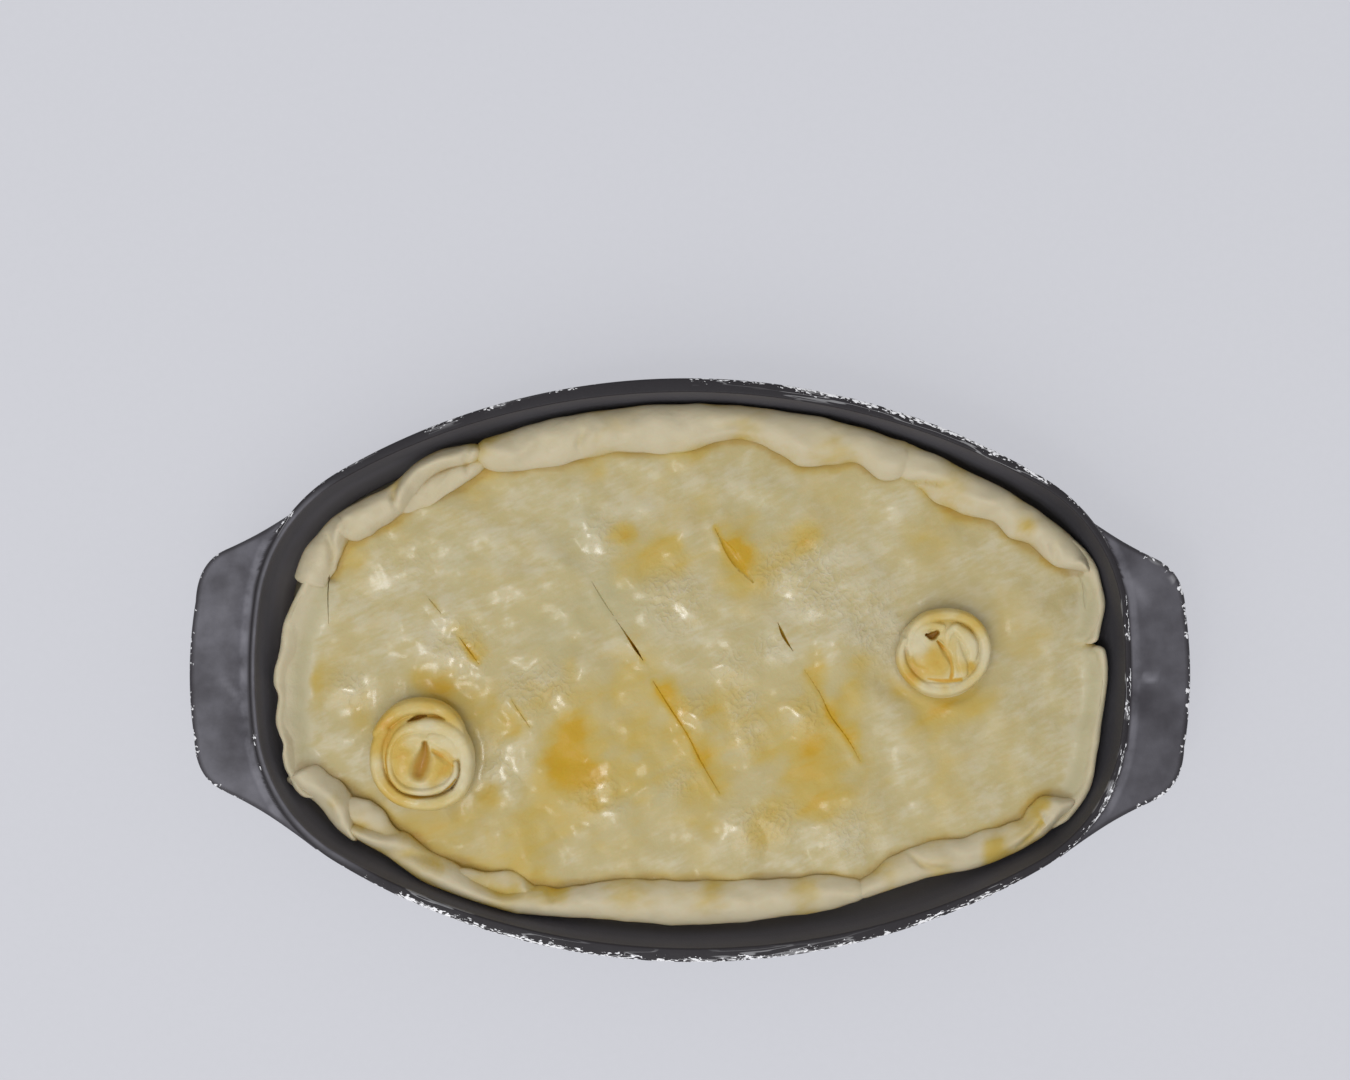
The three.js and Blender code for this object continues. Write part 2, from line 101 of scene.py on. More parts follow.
# Lug handles: outline of one lug, from its root at the rim to the middle of its outer edge
LUG_TOP = 50
LUG_THICKNESS = 5
LUG_ROUND = 1.4
LUG_BOW = 2
LUG_SHIFT = -2
LUG_EDGE_HALF = 26
LUG_ROOT = (141, 67.5)
LUG_WAIST = (158, 54.3)
LUG_SHOULDER = (177, 45.7)
LUG_CORNER = (187.5, 40.7)
LUG_INNER = 122
LUG_TAPER = 0.86
LUG_CURVE_STEPS = (24, 16, 14)
LUG_FLAT_STEPS = 64
LUG_FILLET_RISE = 1.7
LUG_FILLET_REACH = 4.5

# Lid of the pie and the lumps of filling under it, set on a golden-angle spiral
GAP = 0.4
CONTACT_HEIGHT = 18
LUMP_COUNT = 46
LUMP_SPREAD = (0.42, 0.38)
RADIUS_CHANGE = 0.3
RADIUS_BEAT = 2.3
HEIGHT_CHANGE = 0.7
HEIGHT_BEAT = 1.7
ROSE_RISE = 0.8
# Distances from a rose over which the lumps and the finer relief come back
LUMP_SEAT_REACH = 13
RELIEF_SEAT_REACH = 3
# Spacing of the points of the lid, and how far its block stays inside the outline of the mouth
LID_STEP = 1.1
SLAB_INSET = 2

# Uneven surface of the dough: the size of its bumps, their height and a seed
LID_RELIEF = [(24, 1.7, 3.1), (12, 1.2, 7.7), (6.5, 0.46, 12.9), (3.4, 0.14, 17.3)]
FOLD_RELIEF = [(21, 1.9, 21.3), (9, 0.9, 25.1), (4, 0.3, 28.4)]
STRIP_RELIEF = [(7, 0.5, 41.7), (3, 0.12, 44.2)]
# Ripple of the outer and the inner edge of a fold, given the same way
OUTER_RIPPLE = (9, 0.6, 31.4)
INNER_RIPPLE = (8, 0.9, 35.8)

# Border: every fold has a pillow shaped section that sinks into the lid. Its widest part is lifted
# over the lid, and the sheet ends tucked behind it, or at the notch where no fold is.
NOSE_LIFT = 1.4
FOLD_SINK = 3
FOLD_TUCK = 2.5
NOTCH_INSET = 8
SWELL = 0.62
CREST = 0.5
END_TAPER = 7
END_BLUNT = 0.3
FOLD_STEP = 0.34
FOLD_SIDES = 44

# Folds in order round the rim, as in the solids: span holds the turns of its ends, outer and
# inner the insets of its two edges at even steps, crown the height, crest the share of the width
# where it is highest, taper the length of its ends, ripple the height of its outer ripple and
# swell the power of its section, low for a flat one. A fold with a sweep is an open lip: the
# sheet runs up to it in a hollow curve that starts this far inside it.
FOLDS = [
    dict(span=(17, 57), crown=5,
         outer=[6.5, 8, 10, 10, 10, 9.5, 9],
         inner=[11, 18.5, 21.5, 22, 23.5, 25, 23, 25, 26, 26.5, 24.5, 23, 23]),
    dict(span=(53, 126), crown=5.5,
         outer=[9, 9, 9, 9.5, 10.5],
         inner=[23, 26, 23, 26, 28.5, 25, 22, 23, 26.5, 28, 27.5, 26.5, 27, 27.5, 26.5, 25, 22]),
    dict(span=(124, 142), crown=2.4,
         outer=[16, 16, 16],
         inner=[21, 24.5, 26.5, 25]),
    dict(span=(124, 154), crown=5.5,
         outer=[11, 9.5, 8.5, 9.5, 12.5, 13, 12.5, 11.5, 12],
         inner=[18.5, 18, 17, 18.5, 23.5, 25.5, 26, 25.5, 21.5]),
    dict(span=(150, 166), crown=5, taper=3,
         outer=[11.5, 11.5, 10.5, 11],
         inner=[20, 23.5, 24.5, 24]),
    dict(span=(163, 205), crown=5.6, crest=0.2, sweep=10, ripple=0.3,
         outer=[15.5, 15, 14.4, 13.3, 11.8, 10.6, 10.1, 9.7, 9.1, 7.7, 7.3, 8.8, 8, 7.2, 8.2, 9.3,
                7.5, 6.8, 7, 6.5, 7.5, 10],
         inner=[25, 25, 24, 21, 19, 17, 16, 16, 15, 15, 16]),
    dict(span=(198.5, 215), crown=5.6, taper=1.8,
         outer=[4.5, 6.8, 9, 10, 9, 8, 7.8],
         inner=[17.5, 20, 22, 22.3, 21.4, 16, 11]),
    dict(span=(208, 222.5), crown=3, swell=0.35, taper=1.5,
         outer=[13, 13, 13],
         inner=[20.5, 22.2, 23.6, 24.3, 23.9, 21.6, 20, 19]),
    dict(span=(231, 246.5), crown=2.6, swell=0.35, taper=1.5,
         outer=[12, 12, 12],
         inner=[17, 18, 18.5, 19.8, 22, 21.5, 19.5, 18.5]),
    dict(span=(212, 300), crown=5.5,
         outer=[8.5, 9.5, 6.9, 6, 6.5, 9.5, 12, 12, 12, 12.5, 13, 12.6, 13],
         inner=[14, 16.5, 20.5, 18, 18.2, 15.5, 14, 19.3, 21, 24.5, 27.5, 29, 29, 29, 29, 28.5,
                27.5, 27, 25, 21]),
    dict(span=(297, 338), crown=5,
         outer=[13, 13.5, 14, 13.5, 12.5, 10.5, 8.5, 8, 7.5, 7.3, 7, 6.5],
         inner=[20, 22, 25, 26, 26.5, 25, 22.5, 21.5, 19, 18, 19.5, 19, 11]),
    dict(span=(331, 364.3), crown=3.6, crest=0.3, sweep=9, taper=2.5,
         outer=[7, 4.5, 5, 7.2, 7.8, 7, 6.5, 7.5],
         inner=[13, 13, 13, 14, 15, 13.5, 13, 14]),
    dict(span=(364.7, 384), crown=4, crest=0.3, sweep=8, taper=2.5,
         outer=[10.5, 6.3, 5.5, 5.6, 8],
         inner=[16.5, 14, 13, 12.5, 14]),
]
# Section of an open lip, the hollow curve of the sheet up to it, and the degrees from an end of the
# lip at which that curve begins and is full
LIP_NOSE = 0.2
LIP_HOLLOW = 3
SWEEP_POWER = 2.2
SWEEP_LEVEL = 0.95
SWEEP_ENDS = (-0.5, 1.2)

# Paths in plan: how many fine points each drawn one gives, and the fewest points at even steps
PATH_FINENESS = 60
PATH_LEAST = 4


def stroke(width, height, *path):
    """A soft ridge along a path in plan, or a crease if its height is below zero."""
    return {"width": width, "height": height, "path": path}


# Ridges and creases of the folds
STROKES = [
    # Rope at the back left, the crease beside it and the crest that follows
    stroke(2.5, 1.7, (-81, 84), (-92, 80), (-103.5, 76), (-108.5, 70.5), (-111, 64.5), (-114, 58.5),
           (-122, 53), (-132, 49)),
    stroke(1.3, -2.2, (-111, 72.5), (-114, 65.7), (-112, 59)),
    stroke(3, 0.9, (-115, 64.5), (-124.5, 60.5), (-134, 56.5)),
    stroke(0.9, 0.5, (-97, 76), (-104.5, 62.7)),
    stroke(0.9, 0.45, (-91, 76), (-99.6, 64.3)),
    # Shoulder at the left
    stroke(1.7, 1.6, (-131.5, 58.5), (-134.8, 51.7), (-136, 44)),
    stroke(1.2, -2, (-139.8, 51), (-137.2, 43.5), (-138.2, 34)),
    stroke(1.2, -1.2, (-129.5, 57), (-131.5, 51), (-132.5, 44)),
    # Long roll at the back: its end over the rope, two soft pleats and the pale edge of a flap
    stroke(1.1, -1.6, (-83.5, 87), (-86.5, 78), (-85.5, 73)),
    stroke(2.4, 0.8, (-80, 86), (-74, 82.5), (-66, 80)),
    stroke(1.7, 0.8, (-70, 79), (-63.5, 83), (-59, 88)),
    stroke(1.9, -0.8, (-66, 78.5), (-59.5, 82), (-55, 88)),
    stroke(1.2, -1.3, (-41, 80.5), (-43.6, 85.1), (-40.5, 91)),
    stroke(1.8, 0.7, (-38, 81), (-39.5, 86), (-36.5, 91)),
    stroke(1.3, 0.8, (-4, 85), (7, 88.7), (15.5, 90.5), (30, 88.5)),
    stroke(2, -0.8, (-2, 90), (8, 92.5), (18, 93.5), (30, 92)),
    stroke(2.4, 0.6, (36, 88), (44, 84), (54, 83)),
    # Back right: an overlap, a crest and the dimples towards the curled end
    stroke(1, -1.9, (80, 71.5), (88.3, 72.6), (97, 71)),
    stroke(2, 0.7, (84, 76), (92, 75.5), (100, 73)),
    stroke(2, 0.9, (97, 69.5), (107.5, 66.8), (121, 62.5)),
    stroke(1.8, -0.9, (112, 59), (119, 63), (124, 67)),
    stroke(1.6, -0.8, (122, 53), (127.5, 56.5), (131, 62)),
    stroke(1.3, -1.6, (137, 50), (138.8, 46), (140.5, 40)),
    stroke(1.5, 0.8, (133, 52), (134.8, 48), (135.5, 44)),
    stroke(1.2, 1.4, (146, 41), (149, 42.5), (151.5, 39), (150, 35)),
    # Front right: a long crease, and the pleats of the twisted end
    stroke(1.2, -1.5, (82, -67), (90.6, -74.3), (101, -75)),
    stroke(2.2, 0.7, (78, -74), (86, -78.5), (98, -79)),
    stroke(1.8, -0.7, (100, -69.5), (107, -71.5), (115, -70)),
    stroke(1.7, 1.1, (118, -68.5), (127, -63.2), (131.7, -57.9), (137, -49.5)),
    stroke(1.6, 1.1, (130, -63.5), (137.8, -57), (143, -49.5)),
    stroke(1.1, -1.6, (125, -68), (133, -60.3), (137.5, -53)),
    stroke(1.1, -1.2, (136, -64), (142, -57), (146.5, -50)),
    # Front left: the first roll, the twist after it and the flap with its pocket
    stroke(2.4, 0.9, (-150.4, -45.5), (-140.5, -46.9), (-132.8, -53.7), (-130.4, -61.3)),
    stroke(2, -0.7, (-146, -49.5), (-138, -54), (-134.5, -60)),
    stroke(2.2, 1.2, (-130.5, -62.5), (-120.4, -66.4), (-109.7, -66.5), (-101.5, -67.5)),
    stroke(1.9, -1.5, (-119, -71.5), (-109, -71.5), (-99.5, -73.2), (-92, -77)),
    stroke(2.6, 0.9, (-116, -73), (-102, -78.6), (-86.6, -85), (-75, -88.8), (-61, -89)),
    stroke(1.5, 1.3, (-63.5, -80.5), (-62.5, -84), (-60, -87)),
    # Right lips: the crease inside each thin edge
    stroke(1.1, -0.9, (151.2, 36.8), (154.2, 29.6), (153.8, 20.2), (152.3, 11.5)),
    stroke(1.1, -0.8, (153.8, 6.6), (155, -2.1), (153.1, -16.5), (150, -32.4), (147.8, -45.2)),
    # Long roll at the front
    stroke(1.6, -1.1, (-56, -82), (-52.5, -86), (-51, -90)),
    stroke(2.6, 0.6, (-30, -79), (-22, -84), (-12, -86)),
    stroke(2.4, -0.6, (8, -79.5), (18, -84), (30, -85.5)),
    stroke(2.4, 0.7, (44, -79), (52, -84), (62, -85)),
]
# Troughs of the lid behind the open lips
LID_STROKES = [
    stroke(5, -1.7, (-144, 24), (-146.5, 11), (-146, -9), (-146.5, -30), (-148, -40)),
    stroke(3, -1, (149, 36), (150.5, 26), (149.5, 13)),
    stroke(3, -0.8, (150, 4), (151, -10), (148.5, -28), (146, -44)),
]
# Step along a ridge, how many widths off it still counts, and the power by which its ends fade
STROKE_STEP = 0.7
STROKE_REACH = 2.5
STROKE_FADE = 0.6

# Slits through the lid. They have mostly closed again, so each is a row of short openings: a path
# in plan, and along it the half widths, the depths and the egg at the edges.
SLITS = [
    # Left slit
    dict(path=[(-100.5, 25.8), (-98, 23), (-95.5, 20)],
         half=[0.1, 0.22, 0.1], depth=[0.1, 0.28, 0.1], egg=[0.3, 0.6, 0.3]),
    dict(path=[(-88.5, 11), (-84, 5), (-81, 1)],
         half=[0.1, 0.3, 0.3, 0.1], depth=[0.1, 0.36, 0.36, 0.1], egg=[0.5, 0.9, 1, 0.5]),
    dict(path=[(-68, -13), (-61, -23)],
         half=[0.1, 0.2, 0.1], depth=[0.1, 0.2, 0.1], egg=[0.3, 0.4, 0.2]),
    # Middle slit
    dict(path=[(-38, 33), (-33, 25), (-29.5, 20)],
         half=[0.1, 0.25, 0.1], depth=[0.1, 0.25, 0.1], egg=[0, 0, 0]),
    dict(path=[(-28.5, 18.5), (-24, 12), (-18, 3)],
         half=[0.1, 0.25, 0.45, 0.6, 0.15], depth=[0.2, 0.6, 1.4, 2.8, 0.5],
         egg=[0, 0, 0.1, 0.2, 0.5]),
    dict(path=[(-14, -5), (-8.2, -14), (-0.6, -25.4), (4.4, -35.2), (12, -48)],
         half=[0.1, 0.28, 0.3, 0.3, 0.25, 0.1], depth=[0.15, 0.34, 0.36, 0.34, 0.28, 0.1],
         egg=[0.8, 0.9, 0.7, 0.6, 0.5, 0.3]),
    # Right slit
    dict(path=[(9, 54), (14, 46), (20, 39)],
         half=[0.1, 0.25, 0.25, 0.1], depth=[0.1, 0.35, 0.35, 0.1], egg=[0.6, 1, 1, 0.7]),
    dict(path=[(33.5, 18), (36, 12.5), (39.5, 7)],
         half=[0.1, 0.65, 0.5, 0.1], depth=[0.2, 1.9, 1.4, 0.2], egg=[0, 0.1, 0.1, 0]),
    dict(path=[(44, 0), (49.8, -8.6), (54.2, -17.6), (60.6, -26), (66, -35)],
         half=[0.1, 0.2, 0.25, 0.25, 0.1], depth=[0.1, 0.2, 0.3, 0.3, 0.1],
         egg=[0.2, 0.4, 0.8, 0.8, 0.4]),
]
# Flap beside the right slit, a shallow hollow where egg has gathered
FLAP = dict(path=[(10, 52), (16, 43.5), (24, 33)], half=[0.3, 1.7, 1.9, 0.3],
            depth=[0.4, 0.9, 0.9, 0.4])
# Egg along a slit: how far it spreads, and how far off it still counts
SLIT_EGG_REACH = 1.1
SLIT_EGG_ROOM = 4
# Lips of dough along a slit: heights at its left and right, and their distance from it
SLIT_LIP_LEFT = 0.15
SLIT_LIP_RIGHT = 0.4
SLIT_LIP_REACH = 1.6
SLIT_LIP_STEP = 2
SLIT_STEP = 1
# Section of a cut, round from its bottom: shares of the half width and of the depth, and a lift
GROOVE_SECTION = [
    (0, 0, 0), (0.6, 0.4, 0), (1, 1, 0), (1.3, 1, 3), (-1.3, 1, 3), (-1, 1, 0), (-0.6, 0.4, 0),
]
# Seam where the sheet runs under the flap at the left
SEAM = dict(path=[(-138.8, 35), (-139.3, 27), (-139, 15.5)], half=[0.25, 0.25, 0.2, 0.12],
            depth=[0.9, 0.8, 0.6, 0.2])

# Egg wash that has gathered on the lid: a place, its size and its strength
EGG_POOLS = [
    (-45, -25, 6, 0.9), (-47, -38, 8, 1.25), (-38, -41, 5, 0.7), (-95, -9, 6, 0.95),
    (-103, -6, 5, 0.6), (20, 43, 5, 1.3), (16, 47, 4, 1.0), (-9, -9, 4, 1.2),
    (-4, -15, 4, 0.8), (6, -34, 4, 0.35), (62, -25, 4, 0.9), (55, -17, 4, 0.7),
    (-76, -49, 5, 0.6), (-26, 51, 5, 0.8), (-14, 45, 6, 0.4), (-6, 47, 4, 0.5),
    (-19, 39, 12, 0.35), (44, 50, 6, 0.8), (36, 44, 8, 0.5), (47, -30, 6, 0.55),
    (54, -49, 12, 0.5), (63, -8, 6, 0.5), (48, 0, 6, 0.45), (66, 2, 6, 0.5), (98, -15, 8, 0.5),
    (110, -12, 7, 0.5), (92, 48, 12, 0.2), (-132, 40, 8, 0.3), (-81, 68, 10, 0.3),
    (-39, 76, 8, 0.4), (-111, 52, 10, 0.2), (60, 70, 10, 0.2), (105, 58, 10, 0.2),
    (117, -66, 6, 0.6), (136, -52, 6, 0.7), (-100, -62, 14, 0.45), (-60, -68, 14, 0.4),
    (-137, -10, 8, 0.15), (-82, 8, 5, 0.55), (-88, 14, 5, 0.5), (-69, -22, 5, 0.45),
    (-127, -22, 7, 0.3), (30, -60, 9, 0.4),
]
# Broad drifts of yellow egg over the middle of the lid
EGG_DRIFTS = [
    (-32, -32, 36, 0.4), (42, -26, 26, 0.4), (-92, -14, 24, 0.3), (92, -12, 13, 0.4),
    (22, 42, 18, 0.25), (10, -20, 22, 0.25), (100, -48, 16, 0.15),
]
# Yellow smears on the folds
FOLD_SMEARS = [
    (-50, -84, 7, 0.5), (-22, -85, 9, 0.4), (8, -87, 8, 0.3), (44, -83, 9, 0.4), (74, -77, 8, 0.4),
    (98, -75, 8, 0.3), (118, -69, 7, 0.4), (130, -61, 7, 0.5), (138, -51, 6, 0.5), (-136, -52, 5, 0.4),
    (-126, -62, 5, 0.3), (-100, -78, 8, 0.12), (-72, -88, 7, 0.3), (20, 92, 9, 0.3), (-40, 88, 8, 0.3),
    (58, 84, 9, 0.3), (100, 70, 8, 0.3), (128, 56, 6, 0.4), (-80, 84, 6, 0.3), (-111, 66, 5, 0.3),
]
# Patches where the sheet is thin and the filling shows through, greenish grey
THIN_PATCHES = [
    (-21, -40, 14, 0.9), (49, -21, 9, 0.7), (-33, 30, 13, 0.9), (-54, 10, 12, 0.7),
    (30, 60, 12, 0.6), (-19, 18, 10, 0.5), (-45, 52, 16, 0.5), (26, 10, 9, 0.5),
    (-95, 40, 14, 0.4), (15, -28, 8, 0.5),
]
# Low mounds of the lid that catch the light
GLINT_MOUNDS = np.array([
    (-7, 27, 8, 0.9), (-35, 49, 6, 0.7), (44, 36, 9, 1.1), (31, 38, 5, 0.6), (48, 26, 5, 0.7),
    (15, 0, 5, 0.6), (1, -16, 4, 0.8), (20, -13, 5, 0.7), (22, -26, 5, 0.8), (-35, -49, 6, 1.0),
    (44, -18, 5, 0.8), (35, -58, 5, 0.9), (24, -62, 6, 0.8), (30, 8, 4, 0.7), (-52, -8, 6, 0.8),
    (-65, -9, 6, 0.6), (-123, 29, 7, 0.15), (-90, 6, 8, 0.7), (-130, -10, 6, 0.7), (-3, -43, 5, 0.6),
    (-108, 40, 9, 0.2), (70, 18, 10, 0.6), (-72, -38, 7, 0.6), (60, -62, 8, 0.5),
])
# Height of a mound of full strength, and the wider spot that is wet over it
GLINT_RISE = 0.4
GLINT_SPREAD = (1, 1, 1.4, 1)

# Roses: strips of dough, each along a path about the rose's middle, with its thickness and height
# at even steps along it and the power of its section, the gaps pressed between them, and paler
# spots and spots of yellow egg. A gap has half widths along its path, the height of its bottom, the
# share of its width that is flat and how much painted shade darkens it.
ROSES = {
    "rose_left": dict(
        strips=[
            # The long ribbon, from the lip of the cup round to the left of the outer ring
            dict(path=[(13.4, -3), (13.4, -7), (10.4, -11.2), (5, -13.6), (-1, -14), (-6.4, -12.6),
                       (-10.2, -8.6), (-11.4, -3), (-10.8, 3), (-8, 7.8), (-3, 10.4), (3, 11.2),
                       (9, 10.2), (14, 6.8), (16.5, 2.2), (17.2, -3), (16.6, -9), (14.4, -14),
                       (9.5, -17.2), (4, -18.4), (-2, -18.1), (-7.4, -16.4), (-12, -13),
                       (-15.2, -8.1), (-16.4, -2), (-15.9, 4), (-13.8, 9)],
                 thickness=[3.4, 4.2, 4, 4, 4, 4.4, 7, 8, 8.2, 8, 7.4, 7, 7.2, 7.6, 7.6, 7.2, 6.4],
                 height=[10, 10.3, 10.2, 10.1, 10.1, 10.2, 10.6, 10.7, 10.4, 10, 9.9, 9.8, 9.8, 9.8,
                         9.8, 9.6, 9]),
            # Its end, laid over the back
            dict(path=[(-16.2, 8), (-12.4, 13), (-7.4, 16.8), (-1.2, 18.3), (5, 17.8), (10.4, 15.2),
                       (14.4, 11), (16.8, 6.6)],
                 thickness=[6, 7, 7.6, 7.6, 7.2, 6, 3], height=[8.8, 9.4, 9.6, 9.6, 9.4, 9.2, 8.4]),
            # Inner roll, and the leaf at its upper right
            dict(path=[(-1.8, -0.5), (0.2, -2)], thickness=[23, 23.6], height=[10.1, 9.9], square=9),
            dict(path=[(5.2, 6.4), (10.2, 4.6), (13.6, 0.4)],
                 thickness=[8, 9.4, 6], height=[10.6, 10.5, 9.8], square=4),
            dict(path=[(-0.2, 0), (0.2, 0)], thickness=[36, 36], height=[9.6, 9.6], square=5),
        ],
        gaps=[
            dict(path=[(1.9, 4.6), (1.8, 0), (-0.2, -6.8)], half=[1.2, 3, 4.2, 3.8],
                 bottom=7.4, flat=0, dark=0.75),
            dict(path=[(5, 1.8), (9, -0.8), (12.2, -3.8)], half=[1.2, 1.8, 1],
                 bottom=8.9, flat=0, dark=0),
            dict(path=[(-4.6, 12.7), (-1.4, 14), (2, 14.7)], half=[0.3, 0.9, 0.4],
                 bottom=4.4, flat=0.4, dark=0.9),
            dict(path=[(1, 14.7), (5, 14.8), (9, 13.7)], half=[0.4, 0.9, 0.3],
                 bottom=6.6, flat=0.3, dark=0.2),
            dict(path=[(-12.2, 4.6), (-13, -1.5), (-12, -7.6)], half=[0.3, 0.5, 0.3],
                 bottom=8.8, flat=0.2, dark=0.35),
            dict(path=[(-6, -15.2), (-1, -16.1), (5, -15.7)], half=[0.4, 0.7, 0.5],
                 bottom=9.4, flat=0.1, dark=0),
            dict(path=[(8.6, -14), (11.6, -11.6), (13.6, -9)], half=[0.3, 0.5, 0.3],
                 bottom=8.6, flat=0.2, dark=0.35),
        ],
        pale=[(18, -3, 6, 0.9), (15, -11, 5, 0.6), (2, -14, 4, 0.9), (10.5, -11, 3.4, 0.9),
              (3, 11, 5, 0.7), (-15.5, -5, 5, 0.4), (12.5, 7, 5, 0.5), (-5, 5, 4, 0.3)],
        smears=[(-13, 11.5, 5, 0.7), (-8.5, -15.5, 5, 0.6), (2.5, 17.5, 6, 0.5), (-7.5, 2.5, 4, 0.7),
                (-6, -3, 4, 0.6), (9, -4, 4.5, 1.0), (12, 14, 4, 0.7), (-15.5, 4, 4, 0.5),
                (4, -8, 4, 0.6), (4.5, -17, 4, 0.3)],
    ),
    "rose_right": dict(
        strips=[
            dict(path=[(-12.6, 0), (-13.4, 4.4), (-11.6, 9.4), (-7.4, 13), (-2.2, 14.6),
                       (3.5, 14.8), (9.2, 13.1), (13.3, 9.2), (15.4, 4), (15.4, -1.1), (13.3, -6.3),
                       (9.2, -10.5), (3.5, -13.1), (-2.2, -13.5), (-7.9, -12), (-12.9, -8.2),
                       (-15.7, -3.5), (-16.2, 1.2), (-14.8, 5.4)],
                 thickness=[3, 5, 6, 6, 6.2, 6.2, 6, 5.8, 5.8, 5.8, 5.6, 5, 3.4],
                 height=[9, 9.8, 10, 10, 9.9, 9.9, 9.8, 9.8, 9.8, 9.8, 9.6, 9.2, 8.6]),
            # The broad petal at the left
            dict(path=[(-8, 3.8), (-5.2, 0.2), (-2.6, -2.8)],
                 thickness=[14.4, 17.4, 14], height=[10.4, 10.9, 10.2], square=5),
            # Pale strip over the hole
            dict(path=[(-11, 6.4), (-8.6, 9.6), (-5, 11), (-0.8, 10.4)],
                 thickness=[5.6, 5.6, 5.2, 4.4], height=[10.2, 10.3, 10.1, 9.8]),
            # Two limbs of a leaf and the tongue between them
            dict(path=[(4, 10.2), (1.4, 7.8), (1.1, 3.6)],
                 thickness=[5.4, 5.2, 4], height=[10.3, 10.1, 9.6]),
            dict(path=[(4.5, 10.1), (7.8, 7.3), (10.4, 3.1), (10.7, -1.1)],
                 thickness=[5.6, 7.2, 7.6, 5.6], height=[10.6, 10.8, 10.5, 9.8]),
            dict(path=[(4.9, 4.5), (5.6, -0.2), (7.1, -4.4), (7.3, -6.8)],
                 thickness=[3, 5.4, 6.8, 5.6], height=[9.8, 10.3, 10.2, 9.8]),
            # Lip at the bottom
            dict(path=[(-8.8, -11.5), (-2.2, -12), (5.4, -11.5)],
                 thickness=[3.6, 4.6, 4], height=[9.2, 9.6, 9.2]),
            dict(path=[(-0.2, 0), (0.2, 0)], thickness=[35, 35], height=[9.5, 9.5], square=4),
        ],
        gaps=[
            dict(path=[(-6.9, 7.4), (-4.8, 7), (-2.8, 8.2)], half=[0.5, 1.5, 0.9],
                 bottom=6.2, flat=0.6, dark=0.85),
            dict(path=[(-2.7, 5), (1.2, 0), (2.9, -4.6), (2.7, -9)], half=[0.6, 1.7, 0.9, 1.2],
                 bottom=8.8, flat=0, dark=0),
            dict(path=[(-6, -9.2), (0, -9.9), (6.4, -9.4)], half=[0.5, 1, 1],
                 bottom=9, flat=0, dark=0),
        ],
        pale=[(16, 0, 6, 1), (-12, 6, 5, 0.9), (-10, 3, 4, 0.9), (-5, -12.5, 5, 0.7),
              (5, -12, 5, 0.7), (9, 5, 4, 0.6), (-16, 1, 3, 0.5), (3, 9, 3, 0.4)],
        smears=[(-2.4, -3, 5, 0.9), (10, 12.5, 5, 0.6), (-3, 14, 4, 0.3), (-12.5, -8, 4, 0.8),
                (7, -5, 2.5, 0.5), (0.5, -13, 2.5, 0.4), (10.3, -4.2, 1.8, 0.9)],
    ),
}
# Edge of a rose: the farthest place of some height, sought outwards from a share of the reach, and
# the least height of the dough inside it
ROSE_REACH = 26
ROSE_SCAN_FROM = 0.6
ROSE_EDGE_HEIGHT = 1
ROSE_LOWEST = 0.5
# Points of a rose round its middle and outwards, the share of the first ring, and the smoothing
ROSE_SIDES = 320
ROSE_RINGS = 84
ROSE_CORE = 0.01
ROSE_SMOOTHING = {"factor": 0.5, "iterations": 7}
# Step along a strip or a gap, the usual power of a strip's section, and how far a gap spreads
STRIP_STEP = 0.55
STRIP_SQUARE = 3.4
GAP_SPREAD = 1.2

# Brushing of the egg: the way that it was drawn over the lid, and how far it drew streaks out
BRUSH_ANGLE = 0.42
BRUSH_STRETCH = 3.2

# Grain of the dough: the size of its clouds and how many finer layers they have
DRIFTS = (26, 2)
MOTTLE = (9, 4)
SPECKLE = (2.4, 4)
STREAKS = (5, 5)
HAIRS = (1.5, 4)
WRINKLES = (3, 4)
# Sums of grain and marks between which a look of the dough comes in
FLECK_AND_HIGHLIGHT_BAND = (0.4, 0.62)
THIN_BAND = (0.3, 0.6)
WRINKLE_GLINT_BAND = (1, 1.7)
EGG_BAND = (0, 0.55)
POOL_BAND = (0.85, 1.7)
GLOSS_BAND = (0.8, 1.15)
DOUGH_RELIEF_DEPTH = 0.5
LID_WETNESS = 0.9
ROSE_WETNESS = 0.7

# Marks on the dough: heights over the lid, depths under it, rises of the sheet up to a lip, hollows,
# insets and shares of a rose's radius between which each one comes in
BORDER_HEIGHTS = (0.3, 1.4)
BORDER_RISES = (0.2, 4)
TROUGH_HEIGHTS = (0.4, 1.2)
TROUGH_RISES = (0.3, 1.6)
TROUGH_LIP_RISES = (1.8, 4)
DRY_LIP_RISES = (0.1, 1)
UNBRUSHED_DEPTHS = (0.5, 1.5)
UNBRUSHED_INSETS = (20, 26)
CUT_DEPTHS = (0.3, 1)
CUT_INSETS = (24, 30)
CUT_SHADE_DEPTHS = (1.6, 3)
CREASE_SHADE_HOLLOWS = (1, 2)
ROSE_CREASE_SHADE_HOLLOWS = (0.9, 2.4)
ROSE_SIDE_SHARES = (0.88, 0.95)
# Strength of the painted shade in the trough behind the right and the left lips
TROUGH_PAINTED_SHADES = (0.6, 0.45)
# Hollows: the cells over which they are measured and how far the mean round a point reaches, and
# where the upper face begins, under the level of the lid and over the base of a rose
LID_HOLLOWS = (0.8, 2.5)
LID_FACE_DEPTH = 6
ROSE_HOLLOWS = (0.5, 1.6)
ROSE_FACE_HEIGHT = 2

# Angles from which an edge of a piece is shaded sharp
DISH_CREASE = math.radians(35)
PIE_CREASE = math.radians(50)
ROSE_CREASE = math.radians(70)

